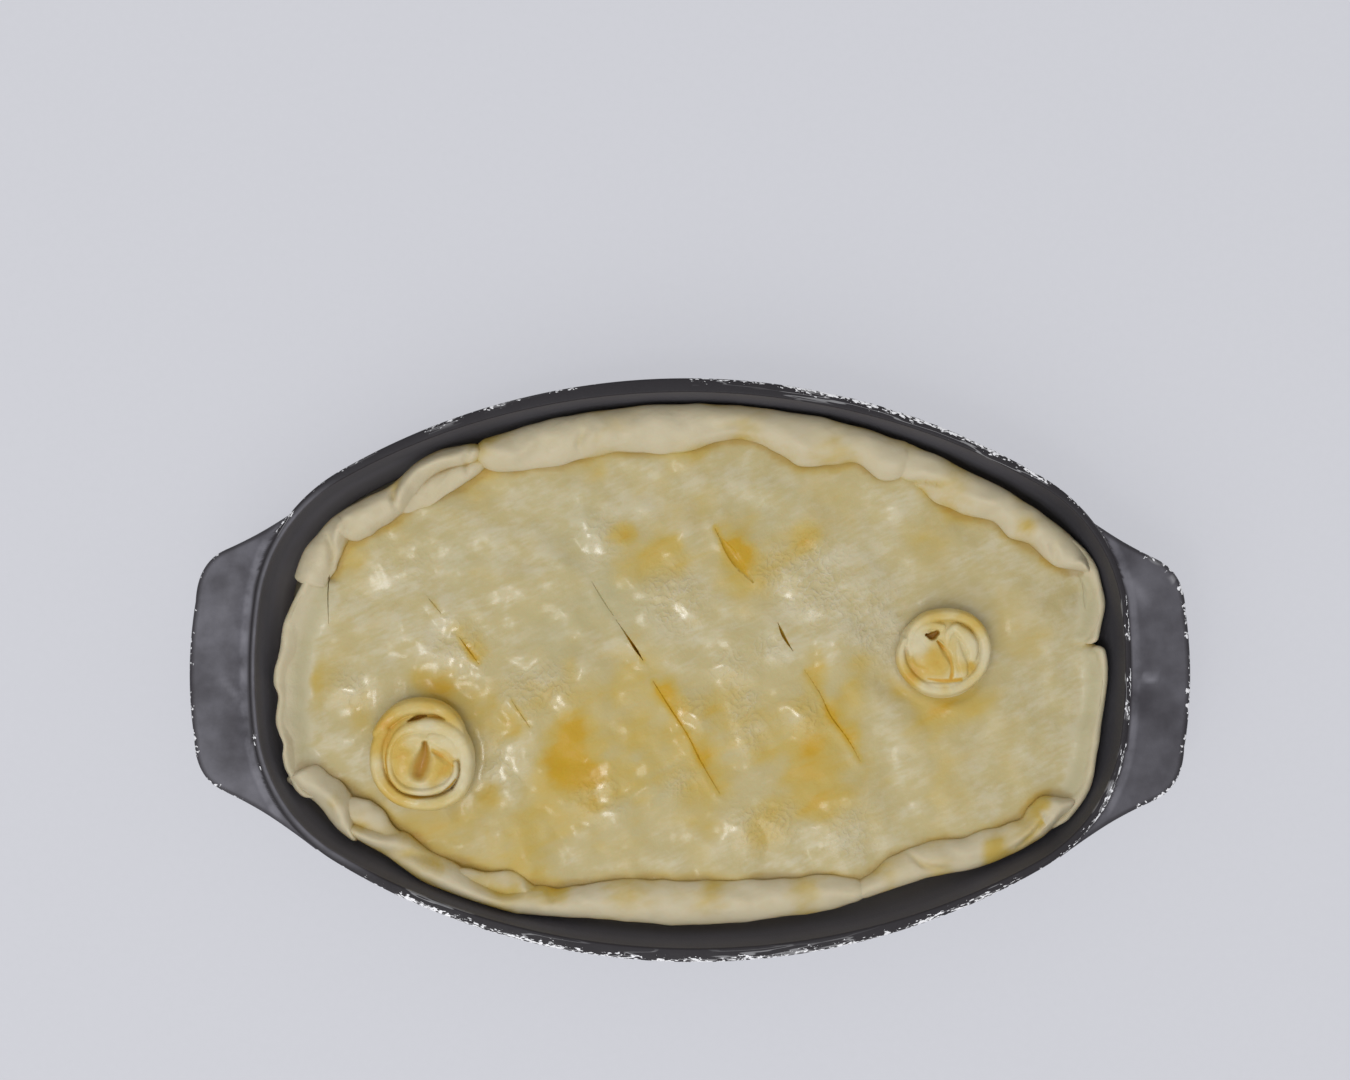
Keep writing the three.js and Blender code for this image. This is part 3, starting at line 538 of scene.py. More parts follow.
# Bare metal along the rim: the turns where it starts and ends, and how far in it reaches, below
# zero where only single chips are gone
RIM_WEAR = [
    (6, 11, 0.1), (20, 34, -0.5), (34, 76, 0.5), (76, 90, -0.1), (104, 126, -0.6),
    (119, 122, -0.3), (126, 131, -0.1), (140, 152, -0.5), (156, 159, 0),
    (190, 196, -0.6), (216, 226, -0.3), (226, 250, 0.5), (250, 286, 0.4), (286, 303, 0.2),
    (303, 322, 0.3), (326, 338, -0.4), (338, 343, 0.1), (345, 349, -0.1), (354, 360, 0.3),
]
NO_WEAR = -3
WEAR_FADE = 3
# Pale scuffs on the lugs
LUG_SCUFFS = [
    stroke(2.6, 0.7, (160, 41), (166, 35), (174, 26)),
    stroke(1.3, 1, (170.5, -0.5), (174.5, -1.4), (178, -1)),
    stroke(5, 0.5, (164, 20), (166, 8), (166, -6)),
    stroke(1.6, 0.6, (-179, -4), (-174, -9), (-170, -14)),
    stroke(4, 0.4, (-170, 36), (-176, 24), (-180, 10)),
]
# Bare metal along a lug: how far in it reaches, how far inside the shoulder it starts, how far down
# it goes, and the stretch over which it ends towards the back of the left lug
LUG_WEAR = 0.1
LUG_WEAR_REACH = 8
LUG_WEAR_DROP = 0.5
LUG_WEAR_BACK = (0, 25)
# Parts of the coating: how far outside the mouth a lug starts, the depths under the top over which
# the rim's own tone starts, the height over the base where the inside wall does, the painted shade
# along a lug's round edge, and how far along the dish the painted sheen grows to the left
LUG_FROM = 0.4
RIM_TONE_DEPTHS = (1, 0.3)
WALL_FROM = 8
LUG_EDGE_SHADE_BAND = (0.7, 2.4)
SHEEN_REACH = 100
# Painted light on the inside wall, lifting its shade: the turn where it is strongest, the span at
# the right that is painted darker instead and how that fades, and the depths under the rim over
# which the painted light grows, and grows more
WALL_LIGHT_TURN = 215
WALL_SHADE_SPAN = (-25, 25, 20)
WALL_LIGHT_DEPTHS = (4, 24)
DEEP_WALL_LIGHT_DEPTHS = (16, 36)
# Painted highlight along the inner edge of the rim: its span and how that fades, and its half width
BRINK_HIGHLIGHT_SPAN = (155, 212, 10)
BRINK_HIGHLIGHT_BAND = (0.2, 0.7)
# Painted highlight in the hollow where a lug meets the rim: its distance outside the rim, and the
# half width over which it fades
FILLET_HIGHLIGHT_PLACE = 2.2
FILLET_HIGHLIGHT_WIDTHS = (0.4, 2.2)

# Grain of the coating, given as for the dough, with chips and scratches squeezed across the rim
CHIPS = (6, 4)
CHIP_SQUEEZE = 3
FLAKES = (1.8, 3)
SCRATCHES = (45, 2)
SCRATCH_SQUEEZE = 5.0
COAT_DRIFTS = (26, 4)
SMEARS = (6, 4)
GRIT = (0.8, 2)
# Sums of grain and marks between which a look of the coating comes in
BARE_BAND = (0, 0.2)
SCRATCH_BAND = (0.008, 0.02)
SCORED_BAND = (-0.9, -0.2)
FILLET_HIGHLIGHT_BAND = (0.5, 0.9)
SHEEN_BAND = (0.38, 0.98)
COAT_RELIEF_DEPTH = 0.2

# Stage: places and sizes of the lamps, the share of the floor's tone that is its own light, and
# the floor's grain with its darkest and lightest tone
KEY_PLACE = (-600, -1150, 1900)
KEY_SIZE = 2200
GLINT_PLACE = (-420, -330, 1600)
GLINT_SIZE = 260
FLOOR_GLOW = 0.75
FLOOR_GRAIN = (3, 4)
FLOOR_TONES = (0.985, 1.015)


# Shapes in plan

def touching_centre(first, first_distance, second, second_distance):
    """Centre of the arc that touches two others from inside."""
    apart = np.linalg.norm(second - first)
    along = (apart**2 + first_distance**2 - second_distance**2) / (2 * apart)
    across = math.sqrt(first_distance**2 - along**2)
    line = (second - first) / apart
    square = np.array([-line[1], line[0]])
    return first + line * along + square * across


class Mouth:
    """Oval of tangent arcs at the outside of the rim: one for each side, end and corner."""

    def __init__(self, length, width):
        side = np.array([0, width / 2 - SIDE_RADIUS])
        end = np.array([length / 2 - END_RADIUS, 0])
        corner = touching_centre(
            end, END_RADIUS - CORNER_RADIUS, side, SIDE_RADIUS - CORNER_RADIUS
        )
        end_angle = math.atan2(*(corner - end)[::-1])
        side_angle = math.atan2(*(corner - side)[::-1])
        self.half_length = length / 2
        self.half_width = width / 2
        self.centres = np.array([end, corner, side])
        self.radii = np.array([END_RADIUS, CORNER_RADIUS, SIDE_RADIUS])
        self.angles = np.array([0, end_angle, side_angle, math.pi / 2])
        lengths = self.radii * np.diff(self.angles)
        self.starts = np.concatenate([[0], np.cumsum(lengths)])
        self.quarter = self.starts[-1]
        self.degree = self.quarter / 90

    def points(self, turn, inset):
        """Points in plan at turns along the rim, moved in from the outline."""
        quarters = np.mod(turn, 360) / 90
        quarter = np.floor(quarters).astype(int)
        share = np.where(quarter % 2 == 0, quarters - quarter, quarter + 1 - quarters)
        along = share * self.quarter
        arc = np.clip(np.searchsorted(self.starts, along, side="right") - 1, 0, 2)
        normal = self.angles[arc] + (along - self.starts[arc]) / self.radii[arc]
        reach = self.radii[arc] - inset
        x = self.centres[arc, 0] + reach * np.cos(normal)
        y = self.centres[arc, 1] + reach * np.sin(normal)
        on_right = (quarter == 0) | (quarter == 3)
        return np.where(on_right, x, -x), np.where(quarter < 2, y, -y)

    def locate(self, x, y):
        """Turn and inset of points in plan."""
        inset = np.full(x.shape, np.inf)
        along = np.zeros(x.shape)
        for arc, (centre, radius) in enumerate(zip(self.centres, self.radii)):
            angle = np.arctan2(np.abs(y) - centre[1], np.abs(x) - centre[0])
            found = radius - np.hypot(np.abs(x) - centre[0], np.abs(y) - centre[1])
            own = (angle >= self.angles[arc]) & (angle <= self.angles[arc + 1]) & (found < inset)
            inset = np.where(own, found, inset)
            length = self.starts[arc] + radius * (angle - self.angles[arc])
            along = np.where(own, length, along)
        share = along / self.degree
        back = np.where(x >= 0, share, 180 - share)
        return np.where(y >= 0, back, 360 - back), inset


def smooth_values(values, share):
    """Smooth curve through evenly spaced values, read at shares from 0 to 1."""
    values = np.asarray(values, float)
    last = len(values) - 1
    place = np.clip(share, 0, 1) * last
    left = np.minimum(np.floor(place).astype(int), last - 1)
    step = place - left
    before, start, end, after = (values[np.clip(left + k, 0, last)] for k in (-1, 0, 1, 2))
    leave = (end - before) / 2
    arrive = (after - start) / 2
    cube = 2 * (start - end) + leave + arrive
    square = 3 * (end - start) - 2 * leave - arrive
    return ((cube * step + square) * step + leave) * step + start


def even_path(path, step):
    """Points at even steps along a smooth path in plan, with the heading at each and its share."""
    x, y = np.asarray(path, float).T
    fine = np.linspace(0, 1, PATH_FINENESS * len(path))
    fine_x = smooth_values(x, fine)
    fine_y = smooth_values(y, fine)
    length = np.concatenate([[0], np.cumsum(np.hypot(np.diff(fine_x), np.diff(fine_y)))])
    count = max(PATH_LEAST, math.ceil(length[-1] / step) + 1)
    even = np.linspace(0, length[-1], count)
    points = np.stack([np.interp(even, length, fine_x), np.interp(even, length, fine_y)], -1)
    heading = np.gradient(points, axis=0)
    heading /= np.linalg.norm(heading, axis=1, keepdims=True)
    return points, heading, even / length[-1]


def ease(value, low, high):
    """Smooth step from 0 at low to 1 at high."""
    share = np.clip((value - low) / (high - low), 0, 1)
    return share * share * (3 - 2 * share)


def end_fullness(share, length, taper):
    """How full a roll is along its length: drawn in round at both ends."""
    to_end = np.minimum(share, 1 - share) * length + END_BLUNT
    return np.sqrt(1 - (1 - np.minimum(1, to_end / taper)) ** 2)


def wander(points, size, seed):
    """Smooth noise at points, with bumps of one size."""
    scaled = np.asarray(points, float) / size + seed
    flat = scaled.reshape(-1, scaled.shape[-1])
    if flat.shape[1] == 2:
        flat = np.column_stack([flat, np.full(len(flat), seed)])
    return np.array([noise.noise(Vector(p)) for p in flat]).reshape(scaled.shape[:-1])


def relief(points, layers):
    """Height of an uneven surface: layers of bumps, each with a size, a height and a seed."""
    return sum(height * wander(points, size, seed) for size, height, seed in layers)


def nearest_place(x, y, path, step):
    """Distance from points in plan to a path, and the share of the way along it nearest to each."""
    points, _, share = even_path(path, step)
    far = np.hypot(x[..., None] - points[:, 0], y[..., None] - points[:, 1])
    return far.min(axis=-1), share[far.argmin(axis=-1)]


def near_path(x, y, path, step, reach):
    """Points within reach of the box round a path, and the distance and nearest share of each."""
    points = even_path(path, step)[0]
    low = points.min(0) - reach
    high = points.max(0) + reach
    near = (x > low[0]) & (x < high[0]) & (y > low[1]) & (y < high[1])
    return near, *nearest_place(x[near], y[near], path, step)


def stroke_height(x, y, strokes):
    """Height of soft ridges and creases over the plan, fading out at their ends."""
    total = np.zeros(np.shape(x))
    for line in strokes:
        width = line["width"]
        near, far, share = near_path(x, y, line["path"], STROKE_STEP, STROKE_REACH * width)
        fade = np.sin(math.pi * share) ** STROKE_FADE
        total[near] += line["height"] * fade * np.exp(-((far / width) ** 2))
    return total


def hollow_depth(points, cell, spread, floor):
    """How far each point lies below the mean of the upper face round it, all above a floor."""
    place = np.floor((points[:, :2] - points[:, :2].min(0)) / cell).astype(int)
    upper = points[:, 2] > floor
    top = np.full(place.max(0) + 1, -np.inf)
    np.maximum.at(top, tuple(place[upper].T), points[upper, 2])
    weight = np.isfinite(top).astype(float)
    total = np.where(weight > 0, top, 0)
    for _ in range(math.ceil(1.5 * (spread / cell) ** 2)):
        for axis in (0, 1):
            total, weight = (
                (np.roll(grid, 1, axis) + grid + np.roll(grid, -1, axis)) / 3
                for grid in (total, weight)
            )
    mean = total / np.maximum(weight, 1e-9)
    return np.where(upper, mean[tuple(place.T)] - points[:, 2], 0)


def blots(x, y, spots):
    """Sum of soft round spots, each with a place, a size and a strength."""
    total = np.zeros(np.shape(x))
    for spot_x, spot_y, size, strength in spots:
        far = ((x - spot_x) ** 2 + (y - spot_y) ** 2) / size**2
        total += strength * np.exp(-far)
    return total


# Meshes

def make_mesh(name, points, faces):
    """Object of a mesh whose points are in millimetres."""
    mesh = bpy.data.meshes.new(name)
    mesh.from_pydata(np.asarray(points) * MM, [], faces)
    piece = bpy.data.objects.new(name, mesh)
    bpy.context.scene.collection.objects.link(piece)
    return piece


def loft(name, rings):
    """Closed solid through rows of rings with the same number of points, capped at both ends."""
    rings = np.asarray(rings, float)
    rows, sides = rings.shape[:2]
    points = np.concatenate([rings.reshape(-1, 3), [rings[0].mean(0), rings[-1].mean(0)]])
    index = np.arange(rows * sides).reshape(rows, sides)
    ahead = np.roll(index, -1, axis=1)
    walls = np.stack([index[:-1], ahead[:-1], ahead[1:], index[1:]], -1).reshape(-1, 4)
    first = np.full(sides, rows * sides)
    low_cap = np.stack([first, ahead[0], index[0]], -1)
    high_cap = np.stack([first + 1, index[-1], ahead[-1]], -1)
    caps = np.concatenate([low_cap, high_cap])
    triangles = np.concatenate([walls[:, [0, 1, 2]], walls[:, [0, 2, 3]], caps])
    corner = points[triangles]
    volume = np.einsum("ij,ij->", corner[:, 0], np.cross(corner[:, 1], corner[:, 2]))
    turned = slice(None) if volume > 0 else slice(None, None, -1)
    return make_mesh(name, points, walls[:, turned].tolist() + caps[:, turned].tolist())


def reshape(piece, kind, settings):
    """Gives a piece the mesh that a modifier makes of it."""
    change = piece.modifiers.new("reshape", kind)
    for name, value in settings.items():
        setattr(change, name, value)
    shown = piece.evaluated_get(bpy.context.evaluated_depsgraph_get())
    result = bpy.data.meshes.new_from_object(shown)
    piece.modifiers.clear()
    if not result.polygons:
        raise RuntimeError(f"{piece.name} came out empty")
    spent = piece.data
    piece.data = result
    bpy.data.meshes.remove(spent)


def combine(piece, others, operation):
    """Joins other solids to a piece, cuts them from it or keeps what they share."""
    group = bpy.data.collections.new(piece.name + "_others")
    bpy.context.scene.collection.children.link(group)
    for other in others:
        bpy.context.scene.collection.objects.unlink(other)
        group.objects.link(other)
    reshape(piece, "BOOLEAN", {
        "operation": operation,
        "solver": "MANIFOLD",
        "operand_type": "COLLECTION",
        "collection": group,
    })
    for other in others:
        bpy.data.meshes.remove(other.data)
    bpy.data.collections.remove(group)
    return piece


def mesh_points(piece):
    """Points of a piece's mesh, in millimetres."""
    flat = np.empty(3 * len(piece.data.vertices), np.float32)
    piece.data.vertices.foreach_get("co", flat)
    return in_mm(flat.reshape(-1, 3))


def paint(piece, layers):
    """Stores named values or vectors for each point of a piece, for its material to read."""
    for name, values in layers.items():
        kind, field = ("FLOAT", "value") if np.ndim(values) == 1 else ("FLOAT_VECTOR", "vector")
        layer = piece.data.attributes.new(name, kind, "POINT")
        layer.data.foreach_set(field, np.asarray(values, np.float32).ravel())


def finish_piece(piece, node, material, crease_angle):
    """Shades a piece, gives it its material, parents it to the root and hides its packed node."""
    piece.data.shade_smooth()
    piece.data.set_sharp_from_angle(angle=crease_angle)
    piece.data.materials.clear()
    piece.data.materials.append(material)
    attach(piece, "root")
    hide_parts(node)


# Materials

class Wire:
    """A socket of a material's nodes. Arithmetic on it adds Math nodes."""

    def __init__(self, finish, socket):
        self.finish = finish
        self.socket = socket

    def math(self, operation, first, second):
        return self.finish.node("Math", {"operation": operation}, {0: first, 1: second})

    def __add__(self, other):
        return self.math("ADD", self, other)

    def __radd__(self, other):
        return self.math("ADD", other, self)

    def __sub__(self, other):
        return self.math("SUBTRACT", self, other)

    def __rsub__(self, other):
        return self.math("SUBTRACT", other, self)

    def __mul__(self, other):
        return self.math("MULTIPLY", self, other)

    def __rmul__(self, other):
        return self.math("MULTIPLY", other, self)

    def __abs__(self):
        return self.finish.node("Math", {"operation": "ABSOLUTE"}, {0: self})


class Finish:
    """A material: its nodes, and the one shader that they feed."""

    def __init__(self, name):
        self.material = bpy.data.materials.new(name)
        self.material.use_nodes = True
        self.tree = self.material.node_tree
        self.shader = self.tree.nodes["Principled BSDF"]
        self.place = self.node("TexCoord", output="Object")

    def node(self, kind, settings=None, sockets=None, output=0):
        """Adds a node, sets it up, fills or links its sockets and gives one of its outputs."""
        made = self.tree.nodes.new("ShaderNode" + kind)
        for name, value in (settings or {}).items():
            setattr(made, name, value)
        for name, value in (sockets or {}).items():
            self.feed(made.inputs[name], value)
        return Wire(self, made.outputs[output])

    def feed(self, socket, value):
        """Links a wire to a socket, or sets the socket to a value or a colour."""
        if isinstance(value, Wire):
            self.tree.links.new(value.socket, socket)
        elif socket.type == "RGBA":
            socket.default_value = (*value, 1)
        else:
            socket.default_value = value

    def surface(self, sockets):
        """Feeds the shader's sockets."""
        for name, value in sockets.items():
            self.feed(self.shader.inputs[name], value)

    def painted(self, name):
        """A value stored for each point of the mesh."""
        return self.node("Attribute", {"attribute_name": name}, output="Fac")

    def cloud(self, grain, place=None):
        """Noise from 0 to 1, with clouds of a size in millimetres and a number of finer layers."""
        size, detail = grain
        sockets = {"Vector": place or self.place, "Scale": 1 / (size * MM), "Detail": detail}
        return self.node("TexNoise", None, sockets)

    def ridges(self, grain):
        """Noise of fine sharp ridges, given as for clouds."""
        size, detail = grain
        sockets = {"Vector": self.place, "Scale": 1 / (size * MM), "Detail": detail, "Offset": 1.0}
        return self.node("TexNoise", {"noise_type": "RIDGED_MULTIFRACTAL"}, sockets)

    def step(self, value, low, high):
        """Smooth step of a value from 0 at low to 1 at high."""
        sockets = {"Value": value, "From Min": low, "From Max": high}
        return self.node("MapRange", {"interpolation_type": "SMOOTHSTEP"}, sockets)

    def blend(self, share, first, second):
        """Colour between two others."""
        settings = {"data_type": "RGBA", "clamp_factor": True}
        return self.node("Mix", settings, {0: share, 6: first, 7: second}, output=2)

    def layers(self, colour, tints):
        """Colour with others laid over it in turn, each by its own share."""
        for share, tint in tints:
            colour = self.blend(share, colour, tint)
        return colour

    def bump(self, height, strength, depth):
        """Normal of a surface with fine relief, whose full depth is in millimetres."""
        sockets = {"Height": height, "Strength": strength, "Distance": depth * MM}
        return self.node("Bump", None, sockets)


def dough_material(name, colours, wetness):
    """Raw pastry: pale where it is dry, yellow where egg was brushed on, orange where it pooled."""
    dough = Finish(name)
    brushing = dough.node("Mapping", {"vector_type": "TEXTURE"}, {
        "Vector": dough.place,
        "Rotation": (0.0, 0.0, BRUSH_ANGLE),
        "Scale": (BRUSH_STRETCH, 1.0, 1.0),
    })
    drifts = dough.cloud(DRIFTS)
    mottle = dough.cloud(MOTTLE)
    speckle = dough.cloud(SPECKLE)
    streaks = dough.cloud(STREAKS, brushing)
    hairs = dough.cloud(HAIRS, brushing)
    wrinkles = dough.ridges(WRINKLES)
    egg = dough.painted("egg")
    border = dough.painted("border")
    wet = dough.painted("wet")

    # Where the brush left egg, in uneven drifts, and where enough ran together to turn orange
    uneven = 0.4 * mottle + 0.6 * streaks
    brushed = egg * (0.6 + 0.8 * uneven) + (1.6 * drifts + uneven - 1.3) * (0.8 - 0.15 * border)
    pooled = dough.step(brushed + 0.6 * streaks + 0.3 * hairs, *POOL_BAND)
    # Paler flecks drawn out along the brushing: drier dough, and partly painted highlight
    flecks_and_highlights = dough.step(0.4 * mottle + 0.35 * streaks + 0.25 * hairs - 0.3 * egg, *FLECK_AND_HIGHLIGHT_BAND)
    colour = dough.layers(colours.lid, [
        (flecks_and_highlights, colours.pale),
        (dough.painted("thin") * dough.step(drifts, *THIN_BAND), colours.thin),
        # painted glints: the pale tone laid on the ridges of the wrinkles where the egg is wet
        (0.6 * wet * dough.step(wrinkles, *WRINKLE_GLINT_BAND), colours.border),
        (border * (0.6 + 0.6 * mottle), colours.border),
        (dough.painted("lip"), colours.thin),
        (dough.step(brushed, *EGG_BAND), colours.egg),
        (pooled, colours.pool),
        (dough.painted("crease"), colours.crease),
    ])

    # The film of egg shines in patches, and is most wrinkled where it is wettest
    glossy = dough.step(mottle + streaks + 0.4 * wet, *GLOSS_BAND)
    film = (0.3 + 0.7 * wet) * (1 - 0.6 * border) * glossy
    fine = (0.06 + 0.7 * wet) * wrinkles + 0.5 * speckle + 0.6 * streaks
    dough.surface({
        "Base Color": colour,
        "Roughness": 0.55 - 0.1 * wet + 0.1 * border,
        "Specular IOR Level": 0.25,
        "Coat Weight": wetness * film,
        "Coat Roughness": 0.16,
        "Subsurface Weight": 0.08,
        "Subsurface Scale": 0.003,
        "Normal": dough.bump(fine, strength=0.7, depth=DOUGH_RELIEF_DEPTH),
    })
    return dough.material


def dish_material(colours):
    """Dark satin coated cast metal with mottled painted sheen, chipped bare along its edges."""
    metal = Finish("dish_coating")
    along_rim = metal.node("Attribute", {"attribute_name": "rim_place"}, output="Vector")
    squeezed = metal.node(
        "VectorMath", {"operation": "MULTIPLY"}, {0: along_rim, 1: (1.0, 1.0, SCRATCH_SQUEEZE)}
    )
    chips = metal.cloud(CHIPS, along_rim)
    flakes = metal.cloud(FLAKES, along_rim)
    scratch = metal.cloud(SCRATCHES, squeezed)
    drifts = metal.cloud(COAT_DRIFTS)
    smear = metal.cloud(SMEARS)
    grit = metal.cloud(GRIT)
    depth = metal.painted("depth")
    worn = metal.painted("worn")
    shiny = metal.painted("painted_sheen")

    # Bare metal ends in a ragged line as far in as the coating is worn, with scratches round it
    ragged = worn + 3.5 * (chips - 0.5) + 7 * (flakes - 0.5) - 0.7 * depth
    bare = metal.step(ragged, *BARE_BAND)
    line = 1 - metal.step(abs(scratch - 0.5), *SCRATCH_BAND)
    scored = line * metal.step(worn - 0.25 * depth, *SCORED_BAND)
    # Painted highlight in the hollow where each lug meets the rim, in patches
    hollow = 1 - metal.step(abs(metal.painted("inset") + FILLET_HIGHLIGHT_PLACE), *FILLET_HIGHLIGHT_WIDTHS)
    scuffs_and_highlights = hollow * metal.step(drifts + 0.4 * smear, *FILLET_HIGHLIGHT_BAND) * shiny
    # Painted light on the inside wall, lifting its shade deep in the dish
    wall = metal.blend(metal.painted("painted_wall_light"), colours.wall, colours.painted_lit_wall)
    # Painted sheen, highlights, wall light and lug edge shade go over the coating, then real wear
    colour = metal.layers(colours.coat, [
        (metal.step(drifts + 0.35 * smear, *SHEEN_BAND) * shiny, colours.painted_sheen),
        (0.9 * scuffs_and_highlights, colours.scuffs_and_highlights),
        (metal.painted("rim"), colours.rim),
        (metal.painted("wall"), wall),
        (0.25 * scored, colours.bare),
        (metal.painted("edge"), colours.rim),
        (metal.painted("scuff_and_highlight") * (0.4 + smear), colours.scuffs_and_highlights),
        (bare, colours.bare),
    ])
    fine = grit + 0.5 * smear - 2 * bare
    metal.surface({
        "Base Color": colour,
        "Roughness": 0.38 + 0.22 * smear + 0.1 * grit,
        "Metallic": 0.2 * bare,
        "Specular IOR Level": 0.3,
        "Normal": metal.bump(fine, strength=0.3, depth=COAT_RELIEF_DEPTH),
    })
    return metal.material


def floor_material(settings):
    """Pale floor with a faint grain, which gives part of its tone as its own light."""
    paper = Finish("pale_floor")
    grain = paper.cloud(FLOOR_GRAIN)
    dark, light = (tuple(tone * c for c in settings.floor) for tone in FLOOR_TONES)
    pale = paper.blend(grain, dark, light)
    paper.surface({
        "Base Color": paper.blend(FLOOR_GLOW, pale, (0.0, 0.0, 0.0)),
        "Emission Color": pale,
        "Emission Strength": FLOOR_GLOW,
        "Roughness": 0.75 + 0.1 * grain,
        "Specular IOR Level": 0.1,
    })
    return paper.material


# Sizes and colours that a user would change

def number_setting(name, description, default, unit="NONE", **limits):
    return FloatProperty(name=name, description=description, default=default, unit=unit, **limits)


def size_setting(name, description, millimetres):
    return number_setting(name, description, millimetres * MM, "LENGTH", min=0, precision=4)


def colour_setting(name, description, *seen):
    default = seen_colour(*seen)
    return FloatVectorProperty(
        name=name, description=description, default=default, min=0, max=1, size=3, subtype="COLOR"
    )


DISH_LOW, DISH_HIGH = node_box("dish")
DISH_SIZE = DISH_HIGH - DISH_LOW


class DishSettings(bpy.types.PropertyGroup):
    """Sizes and colours of the dish"""

    mouth_length: size_setting("Mouth length", "Length of the mouth over the rim", 334)
    mouth_width: size_setting("Mouth width", "Width of the mouth over the rim", DISH_SIZE[1])
    height: size_setting("Height", "Height of the rim over the base", DISH_HIGH[2])
    lug_reach: size_setting("Lug reach", "Distance of a lug's outer edge from the middle", DISH_HIGH[0])
    coat: colour_setting("Coating", "Dark coating of the lugs", 56, 54, 60)
    # Painted sheen: paler drifts where the coating reflects the light, stronger on the left lug
    painted_sheen: colour_setting("Sheen", "Paler drifts in the coating", 105, 104, 112)
    # Darker tone of the rim, also painted as shade along the round edge of each lug
    rim: colour_setting("Rim", "Darker coating of the rim", 34, 31, 36)
    wall: colour_setting("Wall", "Coating inside the dish", 41, 40, 44)
    # Painted light: the wall's lighter tone where its shade is lifted, low down and to the front left
    painted_lit_wall: colour_setting("Greasy wall", "Coating inside the dish where it is greasy", 149, 147, 156)
    # Pale tone of the scuffs on the lugs, also painted as highlight in the lug hollows and rim edge
    scuffs_and_highlights: colour_setting("Rubbed", "Coating rubbed thin along edges", 120, 119, 127)
    bare: colour_setting("Bare metal", "Metal where the coating has chipped off", 228, 228, 232)


class PieSettings(bpy.types.PropertyGroup):
    """Sizes and colours of the pie"""

    lid_level: size_setting("Lid level", "Height of the lid at its edge", 38.5)
    lid_dome: size_setting("Lid dome", "Rise of the lid towards its middle", 2.6)
    lump_radius: size_setting("Lump radius", "Radius of the lumps of filling under the lid", 13)
    lump_height: size_setting("Lump height", "Height of the lumps under the lid", 1.1)
    lid: colour_setting("Lid", "Brushed dough of the lid", 180, 166, 120)
    # Paler flecks of drier dough, partly painted highlight
    pale: colour_setting("Pale", "Paler flecks of the lid", 190, 180, 148)
    # Drier dough of the folds, also painted as glints on the wet wrinkles of the lid
    border: colour_setting("Border", "Drier dough of the folds", 192, 181, 153)
    egg: colour_setting("Egg", "Yellow egg wash", 181, 158, 84)
    pool: colour_setting("Pool", "Egg wash where it has gathered", 184, 146, 30)
    # Dough that lets the filling show, also painted as shade in the trough behind the lips
    thin: colour_setting("Thin", "Dough that lets the filling show", 168, 161, 124)
    # Egg in the deepest creases and cuts, darkened there as painted shade
    crease: colour_setting("Crease", "Egg in the deepest creases", 150, 112, 52)


class RoseSettings(bpy.types.PropertyGroup):
    """Colours of the roses"""

    lid: colour_setting("Dough", "Brushed dough of the roses", 193, 173, 110)
    # Paler flecks of drier dough, partly painted highlight
    pale: colour_setting("Pale", "Paler flecks of the roses", 200, 186, 140)
    # Paler spots of the roses
    border: colour_setting("Edge", "Drier upper edges of the strips", 200, 190, 158)
    egg: colour_setting("Egg", "Yellow egg wash", 190, 160, 76)
    pool: colour_setting("Pool", "Egg wash in the folds", 190, 140, 38)
    thin: colour_setting("Thin", "Thin dough", 184, 172, 130)
    # Egg in the deepest creases and gaps, darkened there as painted shade
    crease: colour_setting("Crease", "Deepest creases", 152, 106, 30)


class StageSettings(bpy.types.PropertyGroup):
    """Floor, light and camera"""

    floor: colour_setting("Floor", "Plain pale floor", 207, 208, 215)
    floor_reach: size_setting("Floor reach", "Half the width of the floor", 4000)
    camera_height: size_setting("Camera height", "Height of the camera over the base", 802)
    camera_side: number_setting(
        "Camera side", "Place of the camera along the dish", -6.2 * MM, "LENGTH", precision=4
    )
    camera_back: size_setting("Camera back", "Place of the camera towards the back", 49.2)
    camera_roll: number_setting(
        "Camera roll", "Turn of the camera about its line of sight", math.radians(0.59), "ROTATION"
    )
    view_angle: number_setting(
        "View angle", "Width of the camera's view", math.radians(37.59), "ROTATION"
    )
    sky: number_setting("Sky", "Strength of the even light all round", 0.68, min=0)
    key: number_setting("Key", "Power of the large soft lamp", 21, "POWER", min=0)
    glint: number_setting("Glint", "Power of the small lamp", 2.2, "POWER", min=0)


SETTINGS = {
    "dish_settings": DishSettings,
    "pie_settings": PieSettings,
    "rose_settings": RoseSettings,
    "stage_settings": StageSettings,
}


# Dish

def rim_width(turn):
    """Width of the rim, which narrows from the long sides to the ends."""
    return RIM_WIDTH_END + (RIM_WIDTH_SIDE - RIM_WIDTH_END) * np.sin(np.radians(turn)) ** 2


